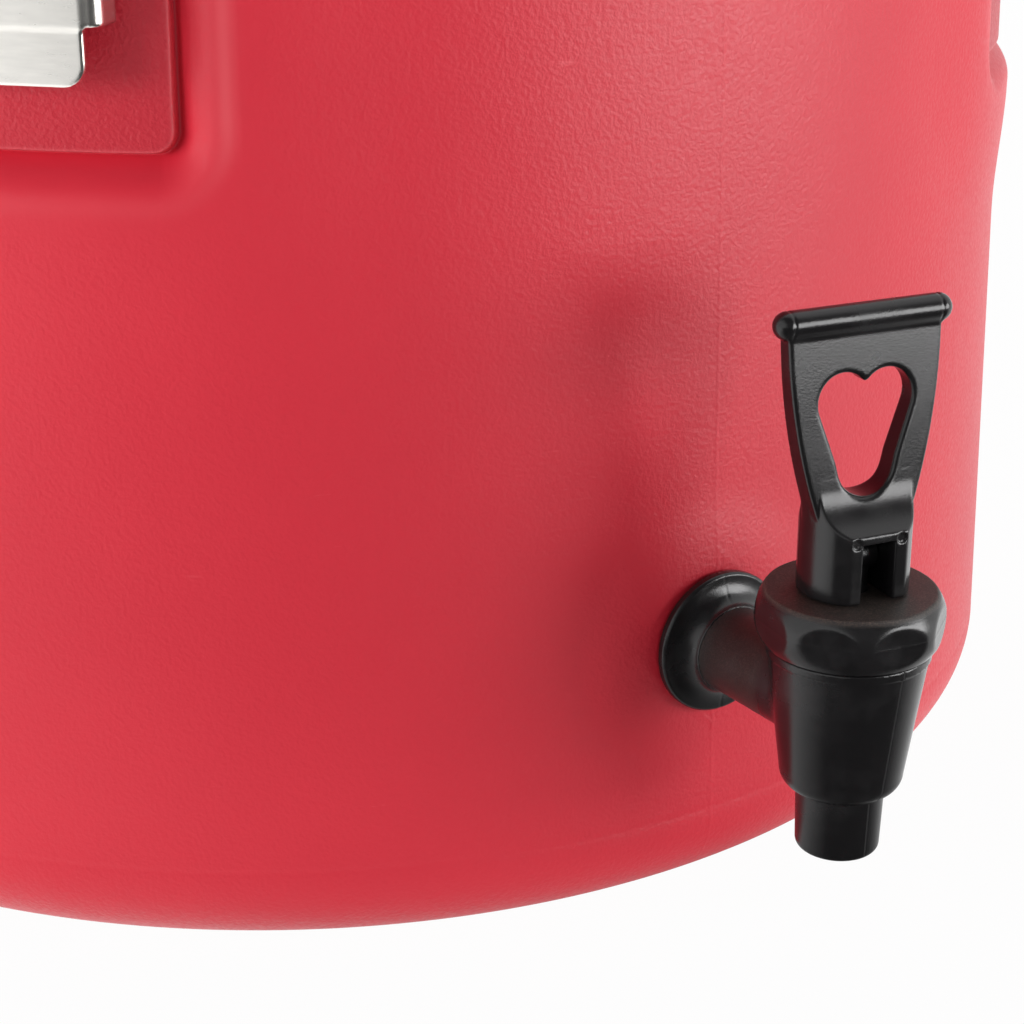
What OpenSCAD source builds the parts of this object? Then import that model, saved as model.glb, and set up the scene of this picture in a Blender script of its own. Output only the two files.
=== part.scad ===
// Insulated beverage dispenser: a round double-walled tub with a latched lid and a lever tap.
// The base face lies on z = 0, the tub's axis is Z, and the tap points along -Y.

/* [Tub] */
// Outer radius of the tub just above its base rounding
body_r = 185; // [170:1:205]
// Height of the tub's rim above the table
rim_z = 256; // [246:1:290]
// Angle by which the outer wall leans in towards the top
draft = 1.5; // [0.5:0.1:2]
// Radius of the rounding between base and wall
base_fillet = 20; // [12:1:26]
// Wall of the outer shell
shell_wall = 4; // [3:0.5:6]
// Inner radius of the tank
tank_r = 140; // [125:1:146]
// Height of the tank floor
tank_floor_z = 42; // [34:1:42]
// Wall of the tank liner
liner_wall = 3; // [2:0.5:4]
// Thickness of the liner's top flange
liner_flange = 3; // [2:0.5:5]
// Radius of the plug that closes the foaming hole in the base
base_plug_r = 16; // [10:1:24]
// Distance of that plug from the tub's axis
base_plug_offset = 70; // [50:1:100]

/* [Hand holds] */
// Width of each moulded hand hold
hold_w = 112; // [90:1:120]
// Height of each moulded hand hold
hold_h = 34; // [26:1:40]
// Height of the middle of the hand holds
hold_z = 186; // [170:1:200]
// Depth of the hand holds
hold_depth = 22; // [14:1:26]

/* [Lid] */
// Height of the lid above the tub's rim
lid_h = 52; // [40:1:70]
// How far the lid's plug reaches into the tank
plug_depth = 16; // [10:1:18]
// Radial gap between the lid's plug and the tank
plug_gap = 2; // [1:0.5:4]
// Thickness of the lid gasket
gasket_h = 3; // [2:0.5:5]
// Radius of the vent cap
vent_r = 17; // [13:1:22]
// Distance of the vent cap from the lid's middle
vent_offset = 70; // [40:1:80]

/* [Latches] */
// Height of the bottom edge of each latch pad
pad_z = 174; // [165:1:180]
// Half the width of each latch pad
pad_half = 31.5; // [29:0.5:38]
// How far the raised frame round a latch pad stands proud of the wall
frame_proud = 2; // [1:0.25:3]
// Width of the raised frame round a latch pad
frame_w = 10; // [7:0.5:14]
// Half the width of a latch lever over its side flanges
lever_half = 22.5; // [20:0.5:25]
// Half the width of the finger tab
tab_half = 19; // [15:0.5:20]
// Height of the lower edge of the finger tab
tab_z = 188; // [184:0.5:192]
// Height of the finger tab
tab_h = 11; // [8:0.5:14]
// Sheet thickness of the latch parts
sheet = 1.5; // [1:0.1:2]
// Height of the lever's pivot pins
pivot_z = 236; // [232:0.5:240]

/* [Tap] */
// Distance of the tap's upright axis from the tub's axis
tap_reach = 226.8; // [220:0.1:236]
// Height of the shank's axis
shank_z = 63.6; // [63:0.1:72]
// Radius of the shank tube
shank_r = 9.4; // [8:0.1:11]
// Radius of the collar against the tub
collar_r = 15.9; // [13:0.1:18]
// Radius of the bonnet's grip
bonnet_r = 19; // [18:0.1:21]
// Height of the bonnet
bonnet_h = 11.4; // [10:0.1:14]
// Radius of the nozzle at its mouth
nozzle_r = 8.6; // [8:0.1:9.6]
// Radius of the outlet bore
outlet_r = 6; // [5:0.1:6.4]
// Width of the lever plate at its top
lever_w = 33.7; // [30:0.1:36]
// Length of the cross bar at the top of the lever
bar_l = 38.7; // [37:0.1:46]
// Diameter of the cross bar
bar_d = 5.6; // [4.6:0.1:7]
// Angle by which the front of the lever plate leans back towards the tub
lever_lean = 5.5; // [3:0.5:7]
// Turn of the lever and the bonnet about the tap's upright axis
lever_turn = -9; // [-20:1:20]
// Height of the lever from its foot to the middle of the bar
lever_h = 54.6; // [52:0.1:60]

/* [Clearances] */
// Gap between pieces that move past each other
run_gap = 0.3; // [0.2:0.05:0.5]
// Radial clearance of a running pin
pin_gap = 0.05; // [0.02:0.01:0.1]
// Gap left round the foam filling
foam_gap = 0.2; // [0.1:0.05:0.5]

/* [Hidden] */
$fn = 64;
fine = 240;
corner_steps = 8;
base_arc_from = -80;
latch_angles = [-45, 45, 135, -135];
LATCHES = [0, 1, 2, 3];

function r_at(z) = body_r - (z - base_fillet) * tan(draft);
function arc(cx, cz, r, a0, a1, n) = [
    for (i = [0 : n])
        let (a = a0 + (a1 - a0) * i / n)
            [cx + r * cos(a), cz + r * sin(a)]
];

// Tub and lid levels
liner_r = tank_r + liner_wall;
tank_round = 5;
liner_round = tank_round + liner_wall;
plug_sink = 0.4;
plug_lip = 3;
plug_lip_h = 2;
lid_z = rim_z + liner_flange + run_gap;
lid_shell_z = lid_z + gasket_h;
lid_top = rim_z + lid_h;
lid_r = r_at(rim_z);
lid_wall = 3.5;
lid_round = 16;
lid_crown = 8;
lid_crown_run = 70;
lid_arc_to = 70;
plug_round = 8;
plug_r = tank_r - plug_gap;
gasket_in = tank_r + 8;
gasket_out = tank_r + 24;
vent_sink = 5;
vent_post = vent_r + 3;
vent_bore = vent_r / 2;
vent_h = 5;
vent_bevel = 1.5;
vent_stem_h = 9;
vent_grips = 12;
vent_grip_r = 2.4;
seal_w = 3;

// Latch pad: a shallow curved pad inside a raised frame
pad_sink = 0.5;
latch_u0 = r_at(pivot_z) - pad_sink;
pad_corner = 5;
frame_corner = pad_corner + frame_w / 2;
base_half = lever_half - 4.5;
base_low = pad_z + 32;
base_top = rim_z - 6;
plate_t = 2;
ear_t = 2;
ear_half = 6;
ear_r = 3.4;
base_sink = 5;
pivot_u = 5;
pivot_r = 1.8;
lever_u = 9;
lever_plate_top = tab_z + 24;
tab_corner = 4;
flange_top = pivot_z + 4.5;
pin_head = 0.6;
hook_z = pivot_z - 14;
hook_u = 6.05;
hook_pin_r = 1.5;
hook_half = lever_half - 11.5;
hook_eye_r = hook_pin_r + 1.1;
hook_window_half = hook_half - 5;
hook_window_low = hook_z + 8;
hook_window_high = hook_z + 32;
keeper_half = hook_half + 2;
keeper_top = lid_shell_z + 9;
keeper_u = 5;
keeper_h = 7;
keeper_crown = 2;
keeper_flange = 8;
keeper_rivet_z = keeper_top + 4.6;
hook_reach = 1.7;
rivet_r = 2.4;
rivet_h = 1.2;
base_rivet_z = base_low + 6;

// Tap levels, from the shank's axis
tap_seat_proud = 0.6;
seat_r = collar_r + 1.5;
seat_sink = 4;
washer_t = 0.6;
washer_r = collar_r - 0.6;
collar_rim = 2.2;
collar_edge = 1;
collar_cove = 3.8;
cone_top_z = shank_z + 15.3;
cone_r = bonnet_r - 2.5;
cone_low_z = shank_z - 12.3;
cone_low_r = cone_r - 3.9;
nozzle_top_r = nozzle_r + 0.4;
nozzle_z = shank_z - 30.2;
shoulder_h = 4;
shoulder_arc_from = -60;
nozzle_edge = 0.6;
cone_lip = 2;
cone_lip_step = 0.4;
chamber_r = cone_low_r - 2;
seat_z = cone_low_z + 2;
seat_t = 2;
bonnet_z = cone_top_z + run_gap;
bonnet_top = bonnet_z + bonnet_h;
bonnet_skirt = 8;
bonnet_edge = 1.6;
bonnet_break = 0.6;
scallops = 8;
scallop_r = 12;
scallop_out = 10.9;
scallop_up = 0.5;
stem_r = 3;
stem_bore = stem_r + pin_gap;
foot_z = bonnet_top + run_gap;
foot_r = 11;
pin_z = foot_z + 7.2;
pin_r = 1.5;
slot_w = 7.2;
slot_h = 12.2;
pin_half = slot_w / 2 + 4;
eye_w = slot_w - 2 * run_gap;
eye_r = 3.4;
cup_r = chamber_r - 1.5;
cup_h = 7;
spring_wire = 1.2;
spring_r = 6;
spring_turns = 4;
plate_th = 3.9;
plate_foot_th = 5.9;
plate_y = -3.9;
crease_z = foot_z + 13.9;
scoop_r = 10.8;
scoop_z = crease_z + 9.7;
scoop_y = plate_y + (scoop_z - crease_z) * tan(lever_lean) - scoop_r;
scoop_from = -asin((scoop_z - crease_z) / scoop_r);
foot_front = -scoop_y - scoop_r * cos(scoop_from);
heel_z = crease_z - 6;
heel_top = crease_z + 6;
bar_z = foot_z + lever_h;
plate_top_y = plate_y + (bar_z - crease_z) * tan(lever_lean);
bar_y = plate_top_y + plate_th / 2 - 0.5;
shank_nut_r = 15;
shank_nut_h = 9;
shank_past_wall = 20;
shank_end = tank_r - shank_past_wall;
seal_t = 2.5;
tap_seat_y = r_at(shank_z) + tap_seat_proud;
washer_y = tap_seat_y + washer_t;

// Shared shapes

// A large turned form, with its seam at the back where nothing crosses it
module turned() {
    rotate([0, 0, 90])
        rotate_extrude($fn = fine)
            children();
}

// Turns a piece drawn with its outward side at -Y to a latch's place
module at_latch(i) {
    rotate([0, 0, latch_angles[i]])
        children();
}

// A pin or bore along local X at a latch's (u, z)
module cross_pin(u, z, r, x0, x1) {
    translate([x0, -latch_u0 - u, z])
        rotate([0, 90, 0])
            cylinder(h = x1 - x0, r = r);
}

// A block spanning local x, u (outward from the pad) and z
module latch_block(x0, x1, u0, u1, z0, z1) {
    translate([x0, -latch_u0 - u1, z0])
        cube([x1 - x0, u1 - u0, z1 - z0]);
}

// A rounded rectangle, x from -half to half and y from low to high
module round_rect(half, low, high, r) {
    polygon(concat(
        arc(half - r, low + r, r, -90, 0, corner_steps),
        arc(half - r, high - r, r, 0, 90, corner_steps),
        arc(-half + r, high - r, r, 90, 180, corner_steps),
        arc(-half + r, low + r, r, 180, 270, corner_steps)
    ));
}

// A prism of a front outline (x, z) reaching from y0 back to y1
module front_prism(y0, y1) {
    translate([0, y1, 0])
        rotate([90, 0, 0])
            linear_extrude(height = y1 - y0)
                children();
}

module along_tap(y0, y1, r0, r1) {
    translate([0, -y0, shank_z])
        rotate([90, 0, 0])
            cylinder(h = y1 - y0, r1 = r0, r2 = r1);
}

function wall_profile(inset, top) = concat(
    [[0, inset], [body_r - base_fillet, inset]],
    arc(body_r - base_fillet, base_fillet, base_fillet - inset, base_arc_from, 0, corner_steps),
    [[r_at(top) - inset, top], [0, top]]
);

module tub_solid(inset, top) {
    turned()
        polygon(wall_profile(inset, top));
}

// Tub

// Both hand holds, grown by a margin on every side
module hold_prism(grow) {
    low = hold_z - hold_h / 2 - grow;
    high = hold_z + hold_h / 2 + grow;
    corner = hold_h / 2.4;
    for (side = [-1, 1])
        rotate([0, 0, 90 * side])
            translate([0, -r_at(hold_z) + hold_depth + grow, 0])
                rotate([90, 0, 0])
                    linear_extrude(height = 2 * hold_depth)
                        round_rect(hold_w / 2 + grow, low, high, corner);
}

// The raised frame round one latch pad, open at the rim
module latch_frame(i) {
    at_latch(i)
        intersection() {
            front_prism(-body_r - frame_proud, -body_r / 2)
                difference() {
                    round_rect(pad_half + frame_w, pad_z - frame_w, rim_z + frame_w, frame_corner);
                    round_rect(pad_half, pad_z, rim_z + 3 * frame_w, pad_corner);
                }
            turned()
                polygon([
                    [r_at(pad_z) - shell_wall / 2, pad_z - frame_w],
                    [r_at(pad_z - frame_w) + frame_proud, pad_z - frame_w],
                    [r_at(rim_z) + frame_proud, rim_z],
                    [r_at(rim_z) - shell_wall / 2, rim_z]
                ]);
        }
}

// The shallow sink of one latch pad
module pad_cut(i) {
    at_latch(i)
        intersection() {
            front_prism(-body_r - frame_proud, -body_r / 2)
                round_rect(pad_half, pad_z, rim_z + 3 * frame_w, pad_corner);
            difference() {
                translate([0, 0, pad_z - 1])
                    cylinder(h = rim_z - pad_z + 2, r = body_r + 2 * frame_proud);
                turned()
                    polygon([
                        [0, pad_z - 2],
                        [r_at(pad_z - 2) - pad_sink, pad_z - 2],
                        [r_at(rim_z + 2) - pad_sink, rim_z + 2],
                        [0, rim_z + 2]
                    ]);
            }
        }
}

module outer_shell() {
    color("#c8303e")
        difference() {
            union() {
                tub_solid(0, rim_z);
                for (i = LATCHES)
                    latch_frame(i);
                along_tap(tap_seat_y - seat_sink, tap_seat_y, seat_r + seat_sink, seat_r);
            }
            for (i = LATCHES)
                pad_cut(i);
            difference() {
                tub_solid(shell_wall, rim_z + 1);
                hold_prism(shell_wall);
            }
            hold_prism(0);
            along_tap(tank_r, tap_seat_y + 1, shank_r + run_gap, shank_r + run_gap);
            translate([0, base_plug_offset, -1])
                cylinder(h = shell_wall + 2, r = base_plug_r);
        }
}

module base_plug() {
    color("#a8242f")
        translate([0, base_plug_offset, 0])
            union() {
                translate([0, 0, plug_sink])
                    cylinder(h = shell_wall + plug_lip_h - plug_sink, r = base_plug_r - run_gap);
                translate([0, 0, shell_wall])
                    cylinder(h = plug_lip_h, r = base_plug_r + plug_lip);
            }
}

module inner_liner() {
    floor_low = tank_floor_z - liner_wall;
    color("#b62c38")
        difference() {
            turned()
                polygon(concat(
                    [[0, floor_low]],
                    arc(liner_r - liner_round, floor_low + liner_round, liner_round, -90, 0, corner_steps),
                    [[liner_r, rim_z], [r_at(rim_z), rim_z]],
                    [[r_at(rim_z), rim_z + liner_flange], [tank_r, rim_z + liner_flange]],
                    arc(tank_r - tank_round, tank_floor_z + tank_round, tank_round, 0, -90, corner_steps),
                    [[0, tank_floor_z]]
                ));
            along_tap(shank_end, tap_seat_y, shank_r + run_gap, shank_r + run_gap);
        }
}

module foam_fill() {
    floor_low = tank_floor_z - liner_wall;
    hollow_round = liner_round + foam_gap;
    color("#e6d9b0")
        difference() {
            tub_solid(shell_wall + foam_gap, rim_z - foam_gap);
            turned()
                polygon(concat(
                    [[0, floor_low - foam_gap]],
                    arc(liner_r - liner_round, floor_low + liner_round, hollow_round, -90, 0, corner_steps),
                    [[liner_r + foam_gap, rim_z + 1], [0, rim_z + 1]]
                ));
            hold_prism(shell_wall + foam_gap);
            along_tap(tank_r, tap_seat_y, shank_r + 1, shank_r + 1);
            translate([0, base_plug_offset, 0])
                cylinder(h = shell_wall + plug_lip_h + foam_gap, r = base_plug_r + plug_lip + foam_gap);
        }
}

// Lid

function lid_profile(inset) = concat(
    [[0, lid_shell_z], [lid_r - inset, lid_shell_z]],
    arc(lid_r - lid_round, lid_top - lid_crown - lid_round, lid_round - inset, 0, lid_arc_to, corner_steps),
    [[lid_r - lid_crown_run, lid_top - inset], [0, lid_top - inset]]
);

module vent_axis() {
    translate([0, vent_offset, 0])
        children();
}

module lid_shell() {
    color("#c8303e")
        difference() {
            turned()
                polygon(lid_profile(0));
            difference() {
                turned()
                    polygon(lid_profile(lid_wall));
                vent_axis()
                    cylinder(h = lid_top, r = vent_post);
            }
            vent_axis()
                cylinder(h = 2 * lid_top, r = vent_bore);
            vent_axis()
                translate([0, 0, lid_top - vent_sink])
                    cylinder(h = 2 * vent_sink, r = vent_r - 2);
        }
}

module lid_plug() {
    plug_low = lid_z - plug_depth;
    plug_in = plug_r - plug_round;
    color("#b62c38")
        difference() {
            turned()
                polygon(concat(
                    [[0, plug_low], [plug_in, plug_low]],
                    arc(plug_in, plug_low + plug_round, plug_round, base_arc_from, 0, corner_steps),
                    [[plug_r, lid_z], [gasket_in - run_gap, lid_z]],
                    [[gasket_in - run_gap, lid_shell_z], [0, lid_shell_z]]
                ));
            vent_axis()
                cylinder(h = 2 * lid_top, r = vent_bore);
        }
}

module lid_foam() {
    color("#e6d9b0")
        difference() {
            turned()
                polygon(lid_profile(lid_wall + foam_gap));
            vent_axis()
                cylinder(h = 2 * lid_top, r = vent_post + foam_gap);
        }
}

module lid_gasket() {
    color("#3a3a3c")
        translate([0, 0, lid_z])
            difference() {
                cylinder(h = gasket_h, r = gasket_out);
                translate([0, 0, -1])
                    cylinder(h = gasket_h + 2, r = gasket_in);
            }
}

module keeper_section() {
    polygon(concat(
        [[0, keeper_top - keeper_h], [keeper_u, keeper_top - keeper_h]],
        arc(keeper_u - keeper_crown, keeper_top - keeper_crown, keeper_crown, 0, 90, corner_steps),
        [[sheet, keeper_top], [sheet, keeper_top + keeper_flange], [0, keeper_top + keeper_flange]]
    ));
}

module lid_keepers() {
    color("silver")
        for (i = LATCHES)
            at_latch(i)
                translate([-keeper_half, -latch_u0, 0])
                    rotate([90, 0, 90])
                        mirror([1, 0, 0])
                            linear_extrude(height = 2 * keeper_half)
                                keeper_section();
}

module keeper_rivets() {
    color("gainsboro")
        for (i = LATCHES)
            for (x = [-keeper_half / 2, keeper_half / 2])
                at_latch(i)
                    translate([x, -latch_u0 - sheet, keeper_rivet_z])
                        rotate([90, 0, 0])
                            cylinder(h = rivet_h, r1 = rivet_r, r2 = rivet_r / 2);
}

module vent_cap() {
    color("#2b2b2d")
        vent_axis()
            difference() {
                union() {
                    translate([0, 0, lid_top + run_gap])
                        cylinder(h = vent_h, r = vent_r);
                    translate([0, 0, lid_top + run_gap + vent_h])
                        cylinder(h = vent_bevel, r1 = vent_r, r2 = vent_r - vent_bevel);
                    translate([0, 0, lid_top - vent_stem_h])
                        cylinder(h = vent_stem_h + 1, r = vent_bore - run_gap);
                }
                for (k = [0 : vent_grips - 1])
                    rotate([0, 0, k * 360 / vent_grips])
                        translate([vent_r + 1, 0, lid_top - 1])
                            cylinder(h = 2 * vent_h + 2, r = vent_grip_r);
            }
}

module vent_seal() {
    color("#5a5a5c")
        vent_axis()
            translate([0, 0, lid_top - vent_sink])
                difference() {
                    cylinder(h = vent_sink, r = vent_bore + seal_w);
                    translate([0, 0, -1])
                        cylinder(h = vent_sink + 2, r = vent_bore);
                }
}

// Latches

module latch_base(i) {
    color("#b9bdc0")
        at_latch(i)
            difference() {
                union() {
                    latch_block(-base_half, base_half, -base_sink, plate_t, base_low, base_top);
                    for (x = [-base_half, base_half - ear_t]) {
                        latch_block(x, x + ear_t, 0, pivot_u, pivot_z - ear_half, pivot_z + ear_half);
                        cross_pin(pivot_u, pivot_z, ear_r, x, x + ear_t);
                    }
                }
                turned()
                    polygon([
                        [0, pad_z],
                        [r_at(pad_z) - pad_sink, pad_z],
                        [r_at(lid_top) - pad_sink, lid_top],
                        [0, lid_top]
                    ]);
                for (x = [-base_half - 1, base_half - ear_t - 1])
                    cross_pin(pivot_u, pivot_z, pivot_r, x, x + ear_t + 2);
            }
}

module latch_lever(i) {
    neck_z = tab_z + tab_h;
    back = plate_t + run_gap;
    front = lever_u + sheet;
    color("#d7dadc")
        at_latch(i)
            difference() {
                union() {
                    front_prism(-latch_u0 - front, -latch_u0 - lever_u)
                        round_rect(tab_half, tab_z, neck_z + 2 * tab_corner, tab_corner);
                    latch_block(-lever_half, lever_half, lever_u, front, neck_z, lever_plate_top);
                    for (x = [-lever_half, lever_half - sheet])
                        latch_block(x, x + sheet, back, front, neck_z, flange_top);
                }
                for (x = [-lever_half - 1, lever_half - sheet - 1]) {
                    cross_pin(pivot_u, pivot_z, pivot_r + pin_gap, x, x + sheet + 2);
                    cross_pin(hook_u, hook_z, hook_pin_r, x, x + sheet + 2);
                }
            }
}

module hook_pin(i) {
    reach = lever_half + pin_head;
    color("gainsboro")
        at_latch(i)
            cross_pin(hook_u, hook_z, hook_pin_r, -reach, reach);
}

module latch_hook(i) {
    tip_z = keeper_top + run_gap;
    tip_top = tip_z + sheet;
    tip_u = keeper_u - hook_reach;
    back = hook_u - sheet / 2;
    front = hook_u + sheet / 2;
    color("#c9cdd0")
        at_latch(i)
            difference() {
                union() {
                    latch_block(-hook_half, hook_half, back, front, hook_z, tip_top);
                    latch_block(-hook_half, hook_half, tip_u, hook_u, tip_z, tip_top);
                    cross_pin(hook_u, hook_z, hook_eye_r, -hook_half, hook_half);
                }
                cross_pin(hook_u, hook_z, hook_pin_r + pin_gap, -hook_half - 1, hook_half + 1);
                front_prism(-latch_u0 - front - 1, -latch_u0 - back + 1)
                    round_rect(hook_window_half, hook_window_low, hook_window_high, tab_corner);
            }
}

module latch_pivots() {
    reach = lever_half + pin_head;
    color("gainsboro")
        for (i = LATCHES)
            at_latch(i) {
                cross_pin(pivot_u, pivot_z, pivot_r, base_half - ear_t, reach);
                cross_pin(pivot_u, pivot_z, pivot_r, -reach, -base_half + ear_t);
            }
}

module latch_rivets() {
    color("gainsboro")
        for (i = LATCHES)
            for (x = [-base_half / 2, base_half / 2])
                at_latch(i)
                    translate([x, -latch_u0 - plate_t, base_rivet_z])
                        rotate([90, 0, 0])
                            cylinder(h = rivet_h, r1 = rivet_r, r2 = rivet_r / 2);
}

// Tap

module at_tap() {
    translate([0, -tap_reach, 0])
        children();
}

// The lever, its pin and the stem's eye stand turned on the tap
module at_lever() {
    at_tap()
        rotate([0, 0, lever_turn])
            children();
}

module tap_washer() {
    color("#3a3a3c")
        difference() {
            along_tap(tap_seat_y, washer_y, washer_r, washer_r);
            along_tap(tap_seat_y - 1, washer_y + 1, shank_r + run_gap, shank_r + run_gap);
        }
}

module tap_collar() {
    rim_y = washer_y + collar_rim;
    cove_r = collar_r - collar_edge;
    cove_from = -95;
    color("#1d1d1f")
        difference() {
            translate([0, 0, shank_z])
                rotate([90, 0, 0])
                    rotate_extrude()
                        polygon(concat(
                            [[shank_r, washer_y], [collar_r, washer_y]],
                            [[collar_r, rim_y - collar_edge], [cove_r, rim_y]],
                            arc(cove_r, rim_y + collar_cove, collar_cove, cove_from, -180, corner_steps),
                            [[shank_r, rim_y + collar_cove]]
                        ));
            along_tap(tap_seat_y, tap_reach, shank_r, shank_r);
        }
}

module tap_body() {
    lip_z = cone_top_z - cone_lip;
    arc_r = cone_low_r - shoulder_h;
    color("#1d1d1f")
        difference() {
            union() {
                at_tap()
                    rotate_extrude()
                        polygon(concat(
                            [[0, nozzle_z], [nozzle_r - nozzle_edge, nozzle_z]],
                            [[nozzle_r, nozzle_z + nozzle_edge], [nozzle_top_r, cone_low_z - shoulder_h]],
                            arc(arc_r, cone_low_z, shoulder_h, shoulder_arc_from, 0, corner_steps),
                            [[cone_r - cone_lip_step, lip_z], [cone_r, lip_z]],
                            [[cone_r, cone_top_z], [0, cone_top_z]]
                        ));
                along_tap(shank_end, tap_reach - chamber_r, shank_r, shank_r);
            }
            at_tap() {
                translate([0, 0, nozzle_z - 1])
                    cylinder(h = seat_z - nozzle_z + 2, r = outlet_r);
                translate([0, 0, seat_z])
                    cylinder(h = cone_top_z - seat_z + 1, r = chamber_r);
            }
            along_tap(shank_end - 1, tap_reach, outlet_r, outlet_r);
        }
}

module tap_bonnet() {
    mid_z = bonnet_z + bonnet_h / 2;
    skirt_z = bonnet_z - bonnet_skirt;
    spring_room = spring_r + 2 * spring_wire;
    color("#1d1d1f")
        at_tap()
            difference() {
                union() {
                    rotate_extrude()
                        polygon([
                            [0, bonnet_z],
                            [cone_r, bonnet_z],
                            [bonnet_r, mid_z],
                            [bonnet_r - bonnet_edge, bonnet_top - bonnet_break],
                            [bonnet_r - bonnet_edge - bonnet_break, bonnet_top],
                            [0, bonnet_top]
                        ]);
                    translate([0, 0, skirt_z])
                        cylinder(h = bonnet_skirt + 1, r = chamber_r - run_gap / 2);
                }
                translate([0, 0, skirt_z - 1])
                    cylinder(h = spring_top - skirt_z + 1, r = spring_room);
                cylinder(h = 3 * bonnet_top, r = stem_bore);
                for (k = [0 : scallops - 1])
                    rotate([0, 0, lever_turn + k * 360 / scallops])
                        translate([bonnet_r + scallop_out, 0, mid_z + scallop_up])
                            sphere(r = scallop_r);
            }
}

module tap_stem() {
    color("#232325")
        at_lever()
            difference() {
                union() {
                    translate([0, 0, seat_z + seat_t + 1])
                        cylinder(h = pin_z - seat_z - seat_t - 1, r = stem_r);
                    intersection() {
                        translate([-eye_w / 2, 0, pin_z])
                            rotate([0, 90, 0])
                                cylinder(h = eye_w, r = eye_r);
                        translate([-eye_w / 2, -eye_r, foot_z + run_gap])
                            cube([eye_w, 2 * eye_r, 3 * eye_r]);
                    }
                }
                translate([-eye_w, 0, pin_z])
                    rotate([0, 90, 0])
                        cylinder(h = 2 * eye_w, r = pin_r);
            }
}

module seat_cup() {
    color("#c9c6bd")
        at_tap()
            difference() {
                translate([0, 0, seat_z + run_gap / 3])
                    cylinder(h = cup_h, r1 = cup_r, r2 = cup_r - 1.5);
                translate([0, 0, seat_z + seat_t + 1])
                    cylinder(h = cup_h, r = stem_r);
            }
}

// One unbroken wire as a helix round the stem, drawn as a swept tube
spring_low = seat_z + run_gap / 3 + cup_h + spring_wire / 2 + 0.1;
spring_top = bonnet_z + 4;
spring_high = spring_top - spring_wire / 2 - 0.1;
spring_steps = 24;
spring_sides = 6;

function coil_point(t) = [
    spring_r * cos(360 * t),
    spring_r * sin(360 * t),
    spring_low + (spring_high - spring_low) * t / spring_turns
];
function ring_point(t, k) =
    let (a = 360 * t, b = 360 * k / spring_sides, r = spring_wire / 2)
        coil_point(t) + [r * cos(b) * cos(a), r * cos(b) * sin(a), r * sin(b)];

module tap_spring() {
    n = spring_turns * spring_steps;
    points = [for (j = [0 : n]) for (k = [0 : spring_sides - 1]) ring_point(j / spring_steps, k)];
    last = n * spring_sides;
    sides = [for (j = [0 : n - 1]) for (k = [0 : spring_sides - 1]) let (
        a = j * spring_sides + k,
        b = j * spring_sides + (k + 1) % spring_sides
    ) each [[a, a + spring_sides, b], [b, a + spring_sides, b + spring_sides]]];
    caps = concat(
        [for (k = [1 : spring_sides - 2]) [0, k, k + 1]],
        [for (k = [1 : spring_sides - 2]) [last, last + k + 1, last + k]]
    );
    echo(spring_self_gap = (spring_high - spring_low) / spring_turns - spring_wire);
    color("silver")
        at_tap()
            polyhedron(points = points, faces = concat(sides, caps), convexity = 6);
}

// The lever's front outline: a shield that widens from the foot to the bar
lever_low_half = 9.5;
shield_power = 2.1;
function shield_half(t) = lever_low_half + (lever_w / 2 - lever_low_half) * (1 - pow(1 - t, shield_power));

module shield_outline(z0, z1) {
    steps = 12;
    right = [for (k = [0 : steps]) [shield_half(k / steps), z0 + (z1 - z0) * k / steps]];
    left = [for (k = [steps : -1 : 0]) [-shield_half(k / steps), z0 + (z1 - z0) * k / steps]];
    polygon(concat(right, left));
}

// The heart-shaped finger hole
heart_half = 10.4;
heart_lobe = 5.65;
heart_tip = 5.8;
heart_low = 20.3;
heart_mid = 38.9;

module heart_outline() {
    lobe_x = heart_half - heart_lobe;
    lobe_z = foot_z + heart_mid;
    tip_z = foot_z + heart_low + heart_tip;
    rise = lobe_z - tip_z;
    lean = atan2(lobe_x, rise) + asin((heart_lobe - heart_tip) / norm([lobe_x, rise]));
    cleft = acos(-lobe_x / heart_lobe);
    polygon(concat(
        arc(lobe_x, lobe_z, heart_lobe, -lean, cleft, 2 * corner_steps),
        arc(-lobe_x, lobe_z, heart_lobe, 180 - cleft, 180 + lean, 2 * corner_steps),
        arc(0, tip_z, heart_tip, 180 + lean, 360 - lean, corner_steps)
    ));
}

// The lever's foot seen from the side: flat in front, scooped up to the plate, sloping in behind
module foot_profile() {
    plate_in = plate_y + plate_foot_th / 2;
    polygon(concat(
        [[-foot_front, foot_z]],
        arc(scoop_y, scoop_z, scoop_r, scoop_from, -lever_lean, corner_steps),
        [[plate_in, scoop_z], [plate_in, heel_top]],
        [[foot_r + 1, heel_z], [foot_r + 1, foot_z]]
    ));
}

// The lever plate seen from the side: it leans back and grows thinner towards the bar
module plate_profile() {
    polygon([
        [plate_y, crease_z],
        [plate_top_y, bar_z],
        [plate_top_y + plate_th, bar_z],
        [plate_y + plate_foot_th, crease_z]
    ]);
}

// A prism of a side outline (y, z) across local X
module side_prism(half) {
    translate([-half, 0, 0])
        rotate([90, 0, 90])
            linear_extrude(height = 2 * half)
                children();
}

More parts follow.
